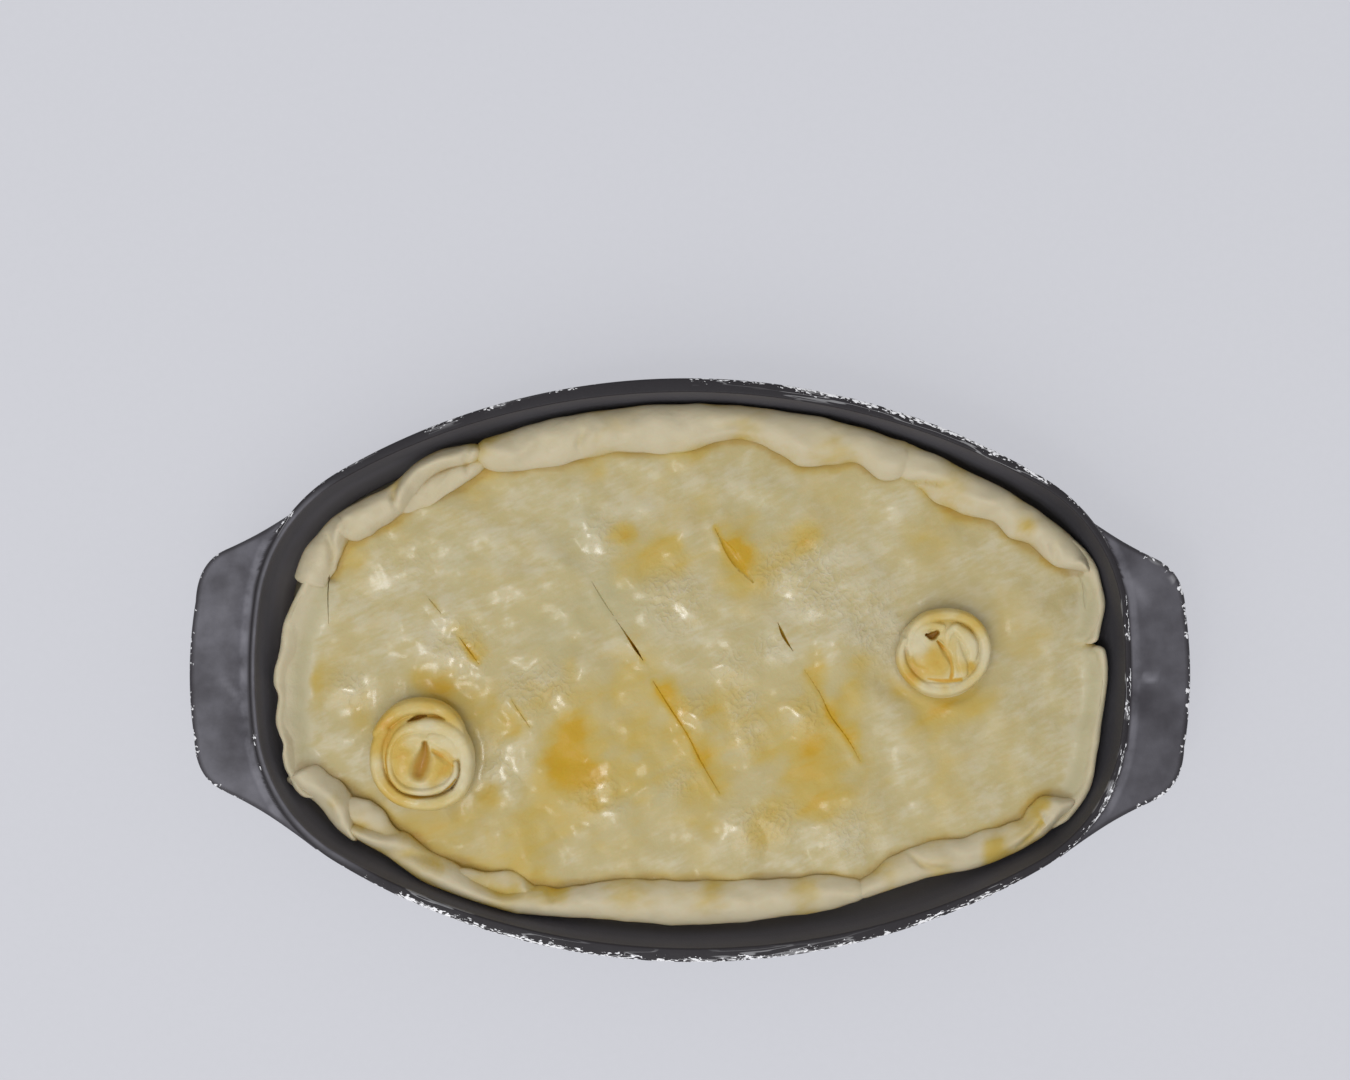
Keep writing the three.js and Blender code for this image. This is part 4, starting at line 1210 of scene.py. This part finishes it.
class DishForm:
    """Outline and wall of the dish, in millimetres."""

    def __init__(self, settings):
        self.height = in_mm(settings.height)
        self.reach = in_mm(settings.lug_reach)
        self.mouth = Mouth(in_mm(settings.mouth_length), in_mm(settings.mouth_width))
        self.turns = np.arange(RIM_STEPS) * 360 / RIM_STEPS

    def wall_inset(self, height, turn):
        """Distance of the inside of the wall from the outline of the mouth."""
        return rim_width(turn) + (self.height - height) * math.tan(WALL_DRAFT)

    def ring(self, inset, height):
        x, y = self.mouth.points(self.turns, inset)
        return np.stack([x, y, np.broadcast_to(height, x.shape)], -1)

    def foot(self, bottom, radius, wall_offset):
        """Rings of the rounded foot of a wall, from its flat bottom to the straight wall."""
        straight_from = bottom + radius * (1 - math.sin(WALL_DRAFT))
        start = self.wall_inset(straight_from, self.turns) + wall_offset
        for angle in np.linspace(0, math.pi / 2 - WALL_DRAFT, CORNER_STEPS + 1):
            inward = radius * (math.cos(WALL_DRAFT) - math.sin(angle))
            yield self.ring(start + inward, bottom + radius * (1 - math.cos(angle)))

    def lug_outline(self, side):
        """Outline of one lug, from its root at the back round its outer edge to the front."""
        edge = self.reach - LUG_BOW
        half = [
            (LUG_ROOT, LUG_WAIST, LUG_SHOULDER),
            (LUG_SHOULDER, LUG_CORNER, (edge, LUG_EDGE_HALF)),
            ((edge, LUG_EDGE_HALF), (self.reach, LUG_EDGE_HALF / 2), (self.reach, 0)),
        ]
        points = []
        for (start, control, end), steps in zip(half, LUG_CURVE_STEPS):
            share = np.linspace(0, 1, steps, endpoint=False)[:, None]
            curve = (1 - share) ** 2 * np.array(start)
            curve = curve + 2 * share * (1 - share) * np.array(control) + share**2 * np.array(end)
            points.append(curve)
        upper = np.concatenate([*points, [(self.reach, 0)]])
        lower = upper[-2::-1] * (1, -1)
        outline = np.concatenate([upper, lower])
        return outline * (side, 1) + (0, LUG_SHIFT)


def lug_solid(form, side):
    """One lug: a flat tongue with a round edge, which rises in a hollow curve to the rim."""
    outline = form.lug_outline(side)
    inner = np.stack([np.full(len(outline), side * LUG_INNER), LUG_TAPER * outline[:, 1]], -1)
    depth = np.linalg.norm(inner - outline, axis=1)
    inward = (inner - outline) / depth[:, None]
    bottom = LUG_TOP - LUG_THICKNESS
    edge = LUG_ROUND * (1 - np.sin(QUARTER_TURN))
    curl = LUG_ROUND * (1 - np.cos(QUARTER_TURN))
    flat = np.linspace(0, 1, LUG_FLAT_STEPS + 1)[1:]
    rings = []
    for point, line, length in zip(outline, inward, depth):
        across = LUG_ROUND + (length - LUG_ROUND) * flat
        distance = np.concatenate([[length], edge, edge[::-1], across])
        top = np.full(len(across), LUG_TOP)
        height = np.concatenate([[bottom], bottom + curl, LUG_TOP - curl[::-1], top])
        x, y = (point + line * distance[:, None]).T
        outside = np.maximum(-form.mouth.locate(x, y)[1], 0)
        rise = LUG_FILLET_RISE * np.exp(-((outside / LUG_FILLET_REACH) ** 2))
        upper = np.arange(len(distance)) > ROUND_STEPS + 1
        rings.append(np.stack([x, y, height + rise * upper], -1))
    return loft("lug", rings)


def dish_block(form):
    """The dish before it is hollowed, with its rounded rim."""
    slant = WALL / math.cos(WALL_DRAFT)
    underside = form.height - RIM_DEPTH
    under = np.maximum(form.wall_inset(underside, form.turns) - slant, RIM_OVERHANG)
    rings = list(form.foot(0, FLOOR_CORNER + WALL, -slant))
    rings.append(form.ring(under, underside))
    rings.append(form.ring(0, underside + RIM_ROUND))
    for angle in QUARTER_TURN:
        inset = RIM_ROUND * (1 - math.cos(angle))
        rings.append(form.ring(inset, form.height - RIM_ROUND * (1 - math.sin(angle))))
    return loft("dish", rings)


def dish_hollow(form):
    """The inside of the dish, with the rounded inner edge of its rim."""
    rings = list(form.foot(FLOOR, FLOOR_CORNER, 0))
    for drop in WALL_TOP_DROPS:
        below = form.height - drop
        rings.append(form.ring(form.wall_inset(below, form.turns), below))
    wall_top = form.height - RIM_ROUND
    edge = form.wall_inset(wall_top, form.turns)
    for angle in QUARTER_TURN:
        inset = edge - RIM_ROUND * (1 - math.cos(angle))
        rings.append(form.ring(inset, wall_top + RIM_ROUND * math.sin(angle)))
    rings.append(form.ring(edge - RIM_ROUND, form.height + RIM_DEPTH))
    return loft("hollow", rings)


def span_share(turn, start, end, soft):
    """1 between two turns, falling to 0 over a few degrees outside them."""
    middle = (start + end) / 2
    away = np.abs(np.mod(turn - middle + 180, 360) - 180) - (end - start) / 2
    return 1 - ease(away, 0, soft)


def edge_depth(x, y, inset, on_lug, form):
    """Distance in from the outline of the mouth or, on a lug, from the lug's own outline."""
    outline = np.concatenate([form.lug_outline(side) for side in (1, -1)])
    far = np.hypot(x[on_lug, None] - outline[:, 0], y[on_lug, None] - outline[:, 1])
    depth = inset.copy()
    depth[on_lug] = far.min(axis=1)
    return depth


def coating_wear(x, y, z, turn, rim, on_lug):
    """How far the coating has worn in from the edges of the rim and of the lugs."""
    bands = [
        NO_WEAR + (reach - NO_WEAR) * span_share(turn, start, end, WEAR_FADE)
        for start, end, reach in RIM_WEAR
    ]
    worn = np.where(rim > 0, np.max(bands, axis=0), NO_WEAR)
    tip = on_lug & (np.abs(x) > LUG_SHOULDER[0] - LUG_WEAR_REACH)
    low = np.maximum(LUG_TOP - LUG_WEAR_DROP - z, 0)
    kept = 0.8 * low + 0.9 * ease(y, *LUG_WEAR_BACK) * (x < 0)
    return np.where(tip, LUG_WEAR - kept, worn)


def chip_places(x, y, z, turn, inset, on_lug, form):
    """Places for the chips: bent to a circle along the rim, and as they are on the lugs."""
    around = np.radians(turn)
    radius = form.mouth.degree * 180 / math.pi
    across = CHIP_SQUEEZE * inset + z
    bent = np.stack([radius * np.cos(around), radius * np.sin(around), across], -1)
    return np.where(on_lug[:, None], np.stack([x, y, z], -1), bent)


def wall_painted_light(z, turn, form):
    """Painted light on the inner wall: most of all low down and towards the front left."""
    left = (0.5 + 0.5 * np.cos(np.radians(turn) - math.radians(WALL_LIGHT_TURN))) ** 1.3
    right = span_share(turn, *WALL_SHADE_SPAN)
    sunk = ease(form.height - z, *WALL_LIGHT_DEPTHS)
    deep = ease(form.height - z, *DEEP_WALL_LIGHT_DEPTHS)
    return 0.2 - 0.13 * right + (0.14 + 0.35 * left) * sunk + (0.5 + 0.8 * left) * deep


def scuffs_and_brink_highlight(x, y, z, turn, inset, on_lug, form):
    """Pale scuffs on the lugs, and a painted highlight along the rim's inner edge at the left."""
    scuffs = np.clip(stroke_height(x, y, LUG_SCUFFS), 0, 1) * on_lug
    brink = 1 - ease(np.abs(inset - rim_width(turn) + RIM_ROUND / 2), *BRINK_HIGHLIGHT_BAND)
    brink = brink * span_share(turn, *BRINK_HIGHLIGHT_SPAN) * (z > form.height - RIM_ROUND)
    return np.maximum(scuffs, 0.6 * brink)


def paint_dish(piece, form):
    """Marks the coating's parts, wear, scuffs, and where light, shade and sheen are painted."""
    x, y, z = mesh_points(piece).T
    turn, inset = form.mouth.locate(x, y)
    on_lug = inset < -LUG_FROM
    rim = ease(z, *(form.height - drop for drop in RIM_TONE_DEPTHS)) * ~on_lug
    inside = (inset > form.wall_inset(z, turn) - WALL / 2) & (z > WALL_FROM)
    depth = edge_depth(x, y, inset, on_lug, form)
    paint(piece, {
        "rim": rim,
        "wall": (1 - rim) * inside,
        # painted light on the inside wall, with less of it at the right
        "painted_wall_light": wall_painted_light(z, turn, form),
        # painted shade along the round edge of each lug, in the rim's tone
        "edge": 0.8 * on_lug * (1 - ease(depth, *LUG_EDGE_SHADE_BAND)),
        # pale scuffs on the lugs, and a painted highlight along the rim's inner edge
        "scuff_and_highlight": scuffs_and_brink_highlight(x, y, z, turn, inset, on_lug, form),
        "inset": inset,
        # painted sheen, stronger towards the left
        "painted_sheen": 0.6 + 0.4 * ease(-x, -SHEEN_REACH, SHEEN_REACH),
        "depth": depth,
        "worn": coating_wear(x, y, z, turn, rim, on_lug),
        "rim_place": chip_places(x, y, z, turn, inset, on_lug, form) * MM,
    })


class MakeDish(bpy.types.Operator):
    """Casts the oval dish with its rim and two lug handles"""

    bl_idname = "chicken_pie.make_dish"
    bl_label = "Make dish"

    def execute(self, context):
        settings = context.scene.dish_settings
        form = DishForm(settings)
        dish = dish_block(form)
        combine(dish, [lug_solid(form, side) for side in (1, -1)], "UNION")
        combine(dish, [dish_hollow(form)], "DIFFERENCE")
        paint_dish(dish, form)
        dish.name = "cast_dish"
        finish_piece(dish, "dish", dish_material(settings), DISH_CREASE)
        return {"FINISHED"}


# Pie

class LidForm:
    """Height of the lid over the plan, in millimetres."""

    def __init__(self, settings, form):
        self.form = form
        self.mouth = form.mouth
        self.level = in_mm(settings.lid_level)
        self.dome = in_mm(settings.lid_dome)
        index = np.arange(LUMP_COUNT)
        golden = math.pi * (3 - math.sqrt(5))
        spread = np.sqrt((index + 0.5) / LUMP_COUNT)
        self.lumps = np.stack([
            2 * form.mouth.half_length * LUMP_SPREAD[0] * spread * np.cos(index * golden),
            2 * form.mouth.half_width * LUMP_SPREAD[1] * spread * np.sin(index * golden),
            in_mm(settings.lump_radius) * (1 + RADIUS_CHANGE * np.sin(RADIUS_BEAT * index)),
            in_mm(settings.lump_height) * (1 + HEIGHT_CHANGE * np.sin(HEIGHT_BEAT * index)),
        ], -1)
        self.seats = []
        for rose in ROSES:
            low, high = node_box(rose)
            self.seats.append(((low + high) / 2, (high - low)[0] / 2))

    def dome_height(self, x, y):
        fall = (x / self.mouth.half_length) ** 2 + (y / self.mouth.half_width) ** 2
        return self.level + self.dome * np.maximum(0, 1 - fall)

    def clear_of_roses(self, x, y, reach):
        """Each rose's middle, and a share that is 0 under it and 1 beyond a reach from its edge."""
        for middle, radius in self.seats:
            distance = np.hypot(x - middle[0], y - middle[1])
            yield middle, ease(distance, radius, radius + reach)

    def height(self, x, y):
        """The lid of the solids: a low dome over the lumps, level under each rose."""
        height = self.dome_height(x, y) + blots(x, y, self.lumps)
        for middle, clear in self.clear_of_roses(x, y, LUMP_SEAT_REACH):
            seat = self.dome_height(middle[0], middle[1]) + ROSE_RISE
            height = seat + (height - seat) * clear
        return height

    def surface(self, x, y):
        """The lid with the finer mounds and wrinkles of the dough."""
        points = np.stack([x, y], -1)
        detail = relief(points, LID_RELIEF) + GLINT_RISE * blots(x, y, GLINT_MOUNDS)
        detail = detail + stroke_height(x, y, LID_STROKES)
        for slit in SLITS:
            detail = detail + slit_lip(x, y, slit)
        for _, clear in self.clear_of_roses(x, y, RELIEF_SEAT_REACH):
            detail = detail * clear
        return self.height(x, y) + detail + lip_sweep(*self.mouth.locate(x, y), self)


def slit_lip(x, y, slit):
    """Low lip of dough along both sides of a slit, higher on its right."""
    points, heading, _ = even_path(slit["path"], SLIT_LIP_STEP)
    lip = np.zeros(np.shape(x))
    near = np.full(np.shape(x), np.inf)
    for point, line in zip(points, heading):
        away_x, away_y = x - point[0], y - point[1]
        distance = np.hypot(away_x, away_y)
        side = np.where(away_x * line[1] - away_y * line[0] > 0, SLIT_LIP_RIGHT, SLIT_LIP_LEFT)
        lip = np.where(distance < near, side, lip)
        near = np.minimum(near, distance)
    return lip * np.exp(-((near / SLIT_LIP_REACH - 1) ** 2))


def slit_egg(x, y, slit):
    """Egg that has run along the edges of a slit."""
    near, far, share = near_path(x, y, slit["path"], SLIT_STEP, SLIT_EGG_ROOM)
    egg = np.zeros(x.shape)
    egg[near] = smooth_values(slit["egg"], share) * np.exp(-((far / SLIT_EGG_REACH) ** 2))
    return egg


def along_fold(fold, turn):
    """Share of the way along a fold at each turn, and the turns that it covers."""
    start, end = fold["span"]
    ahead = np.mod(turn - start, 360)
    return ahead / (end - start), ahead <= end - start


def fold_edges(fold, lid, share):
    """Turns, insets of the two edges and fullness of a fold: drawn in at its ends, off the wall."""
    start, end = fold["span"]
    turn = start + (end - start) * share
    degree = lid.mouth.degree
    along = np.stack([turn * degree, np.zeros_like(turn)], -1)
    clear = lid.form.wall_inset(lid.level + NOSE_LIFT, turn) + GAP
    size, height, seed = OUTER_RIPPLE
    ripple = fold.get("ripple", height) * wander(along, size, seed)
    outer = np.maximum(smooth_values(fold["outer"], share) + ripple, clear)
    inner = smooth_values(fold["inner"], share) + relief(along, [INNER_RIPPLE])
    full = end_fullness(share, (end - start) * degree, fold.get("taper", END_TAPER))
    draw = (inner - outer) / 2 * (1 - full)
    return turn, outer + draw, inner - draw, full


def lip_sweep(turn, inset, lid):
    """Rise of the sheet up to the open lips, in a hollow curve."""
    rise = np.zeros(turn.shape)
    for fold in FOLDS:
        if "sweep" not in fold:
            continue
        share, here = along_fold(fold, turn)
        _, outer, inner, _ = fold_edges(fold, lid, share[here])
        crest = outer + fold["crest"] * (inner - outer)
        foot = inner + fold["sweep"]
        climb = np.clip((foot - inset[here]) / (foot - crest), 0, 1) ** SWEEP_POWER
        start, end = fold["span"]
        to_end = np.minimum(share, 1 - share)[here] * (end - start)
        top = SWEEP_LEVEL * (LIP_NOSE + fold["crown"])
        rise[here] = np.maximum(rise[here], top * climb * ease(to_end, *SWEEP_ENDS))
    return rise


def sheet_inset(turn, lid):
    """Edge of the dough sheet under the border, tucked behind the outermost fold there."""
    inset = np.full(turn.shape, np.inf)
    for fold in FOLDS:
        share, here = along_fold(fold, turn)
        outer = fold_edges(fold, lid, share[here])[1]
        inset[here] = np.minimum(inset[here], outer)
    return np.where(np.isfinite(inset), inset, NOTCH_INSET) + FOLD_TUCK


def fold_solid(fold, lid):
    """One fold: a pillow shaped section carried along the rim, with its ridges and creases."""
    start, end = fold["span"]
    share = np.linspace(0, 1, math.ceil((end - start) / FOLD_STEP) + 1)
    turn, outer, inner, full = fold_edges(fold, lid, share)
    middle = (outer + inner) / 2
    half = (inner - outer) / 2
    is_lip = "sweep" in fold
    base = lid.height(*lid.mouth.points(turn, middle)) + (LIP_NOSE if is_lip else NOSE_LIFT)
    angle = np.linspace(0, 2 * math.pi, FOLD_SIDES, endpoint=False)
    across = (1 - np.cos(angle)) / 2
    moved = across ** (math.log(0.5) / math.log(fold.get("crest", CREST)))
    swell = np.abs(np.sin(math.pi * moved)) ** fold.get("swell", SWELL)
    if is_lip:
        swell = np.where(moved > 0.5, swell**LIP_HOLLOW, swell)
    inset = middle[:, None] - half[:, None] * np.cos(angle)
    x, y = lid.mouth.points(np.broadcast_to(turn[:, None], inset.shape), inset)
    bumps = relief(np.stack([x, y], -1), FOLD_RELIEF) + stroke_height(x, y, STROKES)
    rise = (fold["crown"] * swell + bumps * np.sqrt(swell)) * full[:, None]
    sink = -FOLD_SINK * np.abs(np.sin(angle)) ** SWELL
    z = base[:, None] + np.where(np.sin(angle) > 0, rise, sink)
    return loft("fold", np.stack([x, y, z], -1))


def groove_solid(cut, surface):
    """A cut with a narrow wedge section along a path, open above."""
    points, heading, share = even_path(cut["path"], SLIT_STEP)
    across = np.stack([heading[:, 1], -heading[:, 0]], -1)
    width = smooth_values(cut["half"], share)
    depth = smooth_values(cut["depth"], share)
    bottom = surface(*points.T) - depth
    rings = []
    for side, level, lift in GROOVE_SECTION:
        plan = points + across * (side * width)[:, None]
        rings.append(np.column_stack([plan, bottom + level * depth + lift]))
    return loft("groove", np.stack(rings, 1))


def lid_slab(lid):
    """Block under the lid's uneven upper face."""
    half_x = lid.mouth.half_length - SLAB_INSET
    half_y = lid.mouth.half_width - SLAB_INSET
    x = np.linspace(-half_x, half_x, math.ceil(2 * half_x / LID_STEP) + 1)
    y = np.linspace(-half_y, half_y, math.ceil(2 * half_y / LID_STEP) + 1)
    grid_x, grid_y = np.meshgrid(x, y)
    top = np.stack([grid_x, grid_y, lid.surface(grid_x, grid_y)], -1)
    rows, columns = grid_x.shape
    index = np.arange(rows * columns).reshape(rows, columns)
    quads = np.stack([index[:-1, :-1], index[:-1, 1:], index[1:, 1:], index[1:, :-1]], -1)
    around = np.concatenate([index[0, :-1], index[:-1, -1], index[-1, :0:-1], index[:0:-1, 0]])
    low = top.reshape(-1, 3)[around] * (1, 1, 0)
    foot = rows * columns + np.arange(len(around))
    sides = np.stack([around, foot, np.roll(foot, -1), np.roll(around, -1)], -1)
    points = np.concatenate([top.reshape(-1, 3), low])
    faces = quads.reshape(-1, 4).tolist() + sides.tolist() + [foot[::-1].tolist()]
    return make_mesh("pie", points, faces)


def sheet_block(lid):
    """Room that the pie takes in the dish: it leaves the wall above the contact height."""
    form = lid.form
    contact = form.wall_inset(CONTACT_HEIGHT, form.turns) + GAP
    edge = sheet_inset(form.turns, lid)
    rings = list(form.foot(FLOOR + GAP, FLOOR_CORNER, GAP))
    rings.append(form.ring(contact, CONTACT_HEIGHT))
    rings.append(form.ring(edge, lid.level))
    rings.append(form.ring(edge, form.height))
    return loft("sheet", rings)


def paint_dough(piece, lid):
    """Marks the dry border, egg, thin and wet patches, and painted shade in creases and troughs."""
    points = mesh_points(piece)
    x, y, z = points.T
    turn, inset = lid.mouth.locate(x, y)
    above = z - lid.surface(x, y)
    sweep = lip_sweep(turn, inset, lid)
    trough = ease(sweep, *TROUGH_RISES) - ease(sweep, *TROUGH_LIP_RISES)
    trough = trough * (1 - ease(above, *TROUGH_HEIGHTS))
    border = np.maximum(ease(above, *BORDER_HEIGHTS), 0.7 * ease(sweep, *BORDER_RISES))
    hollow = np.clip(hollow_depth(points, *LID_HOLLOWS, lid.level - LID_FACE_DEPTH), -2, 2)
    # The brush didn't reach the outer side of the border, so it has no egg, not even in creases
    inner = 1 - ease(-above, *UNBRUSHED_DEPTHS) * (1 - ease(inset, *UNBRUSHED_INSETS))
    spread = blots(x, y, EGG_POOLS) + blots(x, y, EGG_DRIFTS)
    egg = (spread + 0.18 * hollow) * (1 - 0.4 * border) + border * blots(x, y, FOLD_SMEARS)
    egg = (egg - 0.5 * ease(sweep, *DRY_LIP_RISES)) * inner
    cut = ease(-above, *CUT_DEPTHS) * ease(inset, *CUT_INSETS)
    run = sum(slit_egg(x, y, slit) for slit in SLITS)
    # egg in the creases and cuts, darkened as painted shade
    deep = (0.3 * ease(hollow, *CREASE_SHADE_HOLLOWS) + 0.5 * ease(-above, *CUT_SHADE_DEPTHS)) * inner
    glints = blots(x, y, GLINT_MOUNDS * GLINT_SPREAD)
    paint(piece, {
        "border": border,
        "egg": egg + np.maximum(0.9 * cut, 0.8 * run),
        "thin": np.clip(blots(x, y, THIN_PATCHES) * (1 - border), 0, 1),
        # painted shade in the trough behind the open lips
        "lip": np.where(x > 0, *TROUGH_PAINTED_SHADES) * trough,
        "crease": np.clip(deep, 0, 1),
        "wet": np.clip(1.5 * glints, 0, 1) * (1 - border),
    })


class MakePie(bpy.types.Operator):
    """Rolls out the lid, folds the border over it and cuts the slits"""

    bl_idname = "chicken_pie.make_pie"
    bl_label = "Make pie"

    def execute(self, context):
        settings = context.scene.pie_settings
        lid = LidForm(settings, DishForm(context.scene.dish_settings))
        pie = combine(lid_slab(lid), [sheet_block(lid)], "INTERSECT")
        combine(pie, [fold_solid(fold, lid) for fold in FOLDS], "UNION")
        cuts = [groove_solid(cut, lid.surface) for cut in [*SLITS, FLAP, SEAM]]
        combine(pie, cuts, "DIFFERENCE")
        paint_dough(pie, lid)
        pie.name = "raw_pie"
        material = dough_material("washed_dough", settings, LID_WETNESS)
        finish_piece(pie, "pie", material, PIE_CREASE)
        return {"FINISHED"}


# Roses

def strip_height(x, y, strip):
    """Height of one strip of dough over the plan: broad on top and round at its edges."""
    far, share = nearest_place(x, y, strip["path"], STRIP_STEP)
    half = smooth_values(strip["thickness"], share) / 2
    top = smooth_values(strip["height"], share)
    square = strip.get("square", STRIP_SQUARE)
    return top * np.sqrt(np.maximum(0, 1 - (far / half) ** square))


def gap_share(x, y, gap):
    """1 in the middle of a gap, falling to 0 at its edges."""
    far, share = nearest_place(x, y, gap["path"], STRIP_STEP)
    return 1 - ease(far / smooth_values(gap["half"], share), gap["flat"], GAP_SPREAD)


def rose_height(x, y, parts):
    """Height of a rose over the plan: the highest of its strips, with its gaps pressed in."""
    height = np.max([strip_height(x, y, strip) for strip in parts["strips"]], axis=0)
    for gap in parts["gaps"]:
        height = height + np.minimum(gap["bottom"] - height, 0) * gap_share(x, y, gap)
    return height


def rose_solid(parts):
    """A rose on its flat base: rings from its middle out to its edge."""
    around = np.linspace(0, 2 * math.pi, ROSE_SIDES, endpoint=False)
    scan = np.linspace(ROSE_SCAN_FROM * ROSE_REACH, ROSE_REACH, ROSE_RINGS)[:, None]
    height = rose_height(scan * np.cos(around), scan * np.sin(around), parts)
    edge = np.max(np.where(height > ROSE_EDGE_HEIGHT, scan, 0), axis=0)
    edge = np.mean([np.roll(edge, step) for step in range(-2, 3)], axis=0)
    reach = edge * np.linspace(ROSE_CORE, 1, ROSE_RINGS)[:, None]
    x, y = reach * np.cos(around), reach * np.sin(around)
    z = rose_height(x, y, parts) + relief(np.stack([x, y], -1), STRIP_RELIEF)
    rings = np.stack([x, y, np.maximum(z, ROSE_LOWEST)], -1)
    foot = rings[-1:] * (1, 1, 0)
    return loft("rose", np.concatenate([rings, foot]))


def paint_rose(rose, parts):
    """Marks the paler spots, the egg, and painted shade in the creases and gaps of a rose."""
    points = mesh_points(rose)
    x, y, _ = points.T
    radius = np.hypot(x, y)
    bearing = np.round(np.degrees(np.arctan2(y, x))).astype(int) + 180
    edge = np.zeros(361)
    np.maximum.at(edge, bearing, radius)
    inside = 1 - ease(radius / edge[bearing], *ROSE_SIDE_SHARES)
    hollow = np.clip(hollow_depth(points, *ROSE_HOLLOWS, ROSE_FACE_HEIGHT), -2, 3) * inside
    shares = [gap_share(x, y, gap) for gap in parts["gaps"]]
    # painted shade in the gaps, as dark as each gap is set
    dark = np.max([gap["dark"] * share for gap, share in zip(parts["gaps"], shares)], axis=0)
    gaps = np.max(shares, axis=0)
    pale = np.clip(blots(x, y, parts["pale"]), 0, 1)
    smears = blots(x, y, parts["smears"])
    egg = 0.1 + 0.7 * smears + 0.15 * np.maximum(hollow, -0.3) - 0.3 * pale
    paint(rose, {
        "border": pale,
        "egg": np.maximum(egg, 0.95 * gaps),
        "thin": np.zeros(len(x)),
        "lip": np.zeros(len(x)),
        # egg in the creases and gaps, darkened as painted shade
        "crease": np.maximum(0.25 * ease(hollow, *ROSE_CREASE_SHADE_HOLLOWS), dark),
        "wet": np.full(len(x), 0.15),
    })


class MakeRoses(bpy.types.Operator):
    """Rolls the two roses out of strips of dough"""

    bl_idname = "chicken_pie.make_roses"
    bl_label = "Make roses"

    def execute(self, context):
        material = dough_material("rolled_dough", context.scene.rose_settings, ROSE_WETNESS)
        for name, parts in ROSES.items():
            low, high = node_box(name)
            seat = Vector([*((low + high) / 2)[:2], low[2]]) * MM
            rose = rose_solid(parts)
            reshape(rose, "SMOOTH", ROSE_SMOOTHING)
            paint_rose(rose, parts)
            rose.data.transform(Matrix.Translation(seat))
            rose.name = "rolled_" + name
            finish_piece(rose, name, material, ROSE_CREASE)
        return {"FINISHED"}


# Stage

def lay_floor(settings):
    """Wide flat floor at the level of the dish's base."""
    reach = in_mm(settings.floor_reach)
    corners = [(-reach, -reach, 0), (reach, -reach, 0), (reach, reach, 0), (-reach, reach, 0)]
    floor = make_mesh("floor", corners, [[0, 1, 2, 3]])
    floor.data.materials.append(floor_material(settings))


def light_scene(scene, settings):
    """Even light all round, a large soft lamp and a small one that makes glints on wet egg."""
    scene.world = bpy.data.worlds.new("soft_sky")
    scene.world.use_nodes = True
    sky = scene.world.node_tree.nodes["Background"]
    sky.inputs["Color"].default_value = (1, 1, 1, 1)
    sky.inputs["Strength"].default_value = settings.sky
    for name, place, size, power in (
        ("soft_lamp", KEY_PLACE, KEY_SIZE, settings.key),
        ("glint_lamp", GLINT_PLACE, GLINT_SIZE, settings.glint),
    ):
        lamp = bpy.data.lights.new(name, "AREA")
        lamp.shape = "DISK"
        lamp.size = size * MM
        lamp.energy = power
        holder = bpy.data.objects.new(name, lamp)
        holder.location = Vector(place) * MM
        holder.rotation_euler = (-holder.location).to_track_quat("-Z", "Y").to_euler()
        scene.collection.objects.link(holder)


def place_camera(scene, settings):
    """Camera over the dish, looking straight down."""
    camera = bpy.data.cameras.new("camera")
    camera.sensor_fit = "HORIZONTAL"
    camera.angle = settings.view_angle
    stand = bpy.data.objects.new("camera", camera)
    stand.location = (settings.camera_side, settings.camera_back, settings.camera_height)
    stand.rotation_euler = (0, 0, settings.camera_roll)
    scene.collection.objects.link(stand)
    scene.camera = stand


class LayStage(bpy.types.Operator):
    """Lays the floor and sets the light and the camera"""

    bl_idname = "chicken_pie.lay_stage"
    bl_label = "Lay stage"

    def execute(self, context):
        scene = context.scene
        lay_floor(scene.stage_settings)
        light_scene(scene, scene.stage_settings)
        place_camera(scene, scene.stage_settings)
        scene.view_settings.view_transform = "Standard"
        return {"FINISHED"}


OPERATORS = [LayStage, MakeDish, MakePie, MakeRoses]


class PiePanel(bpy.types.Panel):
    """Sizes, colours and steps of the pie"""

    bl_idname = "VIEW3D_PT_chicken_pie"
    bl_label = "Chicken pie"
    bl_space_type = "VIEW_3D"
    bl_region_type = "UI"
    bl_category = "Pie"

    def draw(self, context):
        for name, group in SETTINGS.items():
            box = self.layout.box()
            box.label(text=group.__doc__)
            for setting in group.__annotations__:
                box.prop(getattr(context.scene, name), setting)
        for operator in OPERATORS:
            self.layout.operator(operator.bl_idname)


def register():
    for group in SETTINGS.values():
        bpy.utils.register_class(group)
    for name, group in SETTINGS.items():
        setattr(bpy.types.Scene, name, PointerProperty(type=group))
    for each in [*OPERATORS, PiePanel]:
        bpy.utils.register_class(each)


def unregister():
    for each in [PiePanel, *reversed(OPERATORS)]:
        bpy.utils.unregister_class(each)
    for name, group in SETTINGS.items():
        delattr(bpy.types.Scene, name)
        bpy.utils.unregister_class(group)


def main():
    register()
    bpy.ops.chicken_pie.lay_stage()
    bpy.ops.chicken_pie.make_dish()
    bpy.ops.chicken_pie.make_pie()
    bpy.ops.chicken_pie.make_roses()


if __name__ == "__main__":
    main()
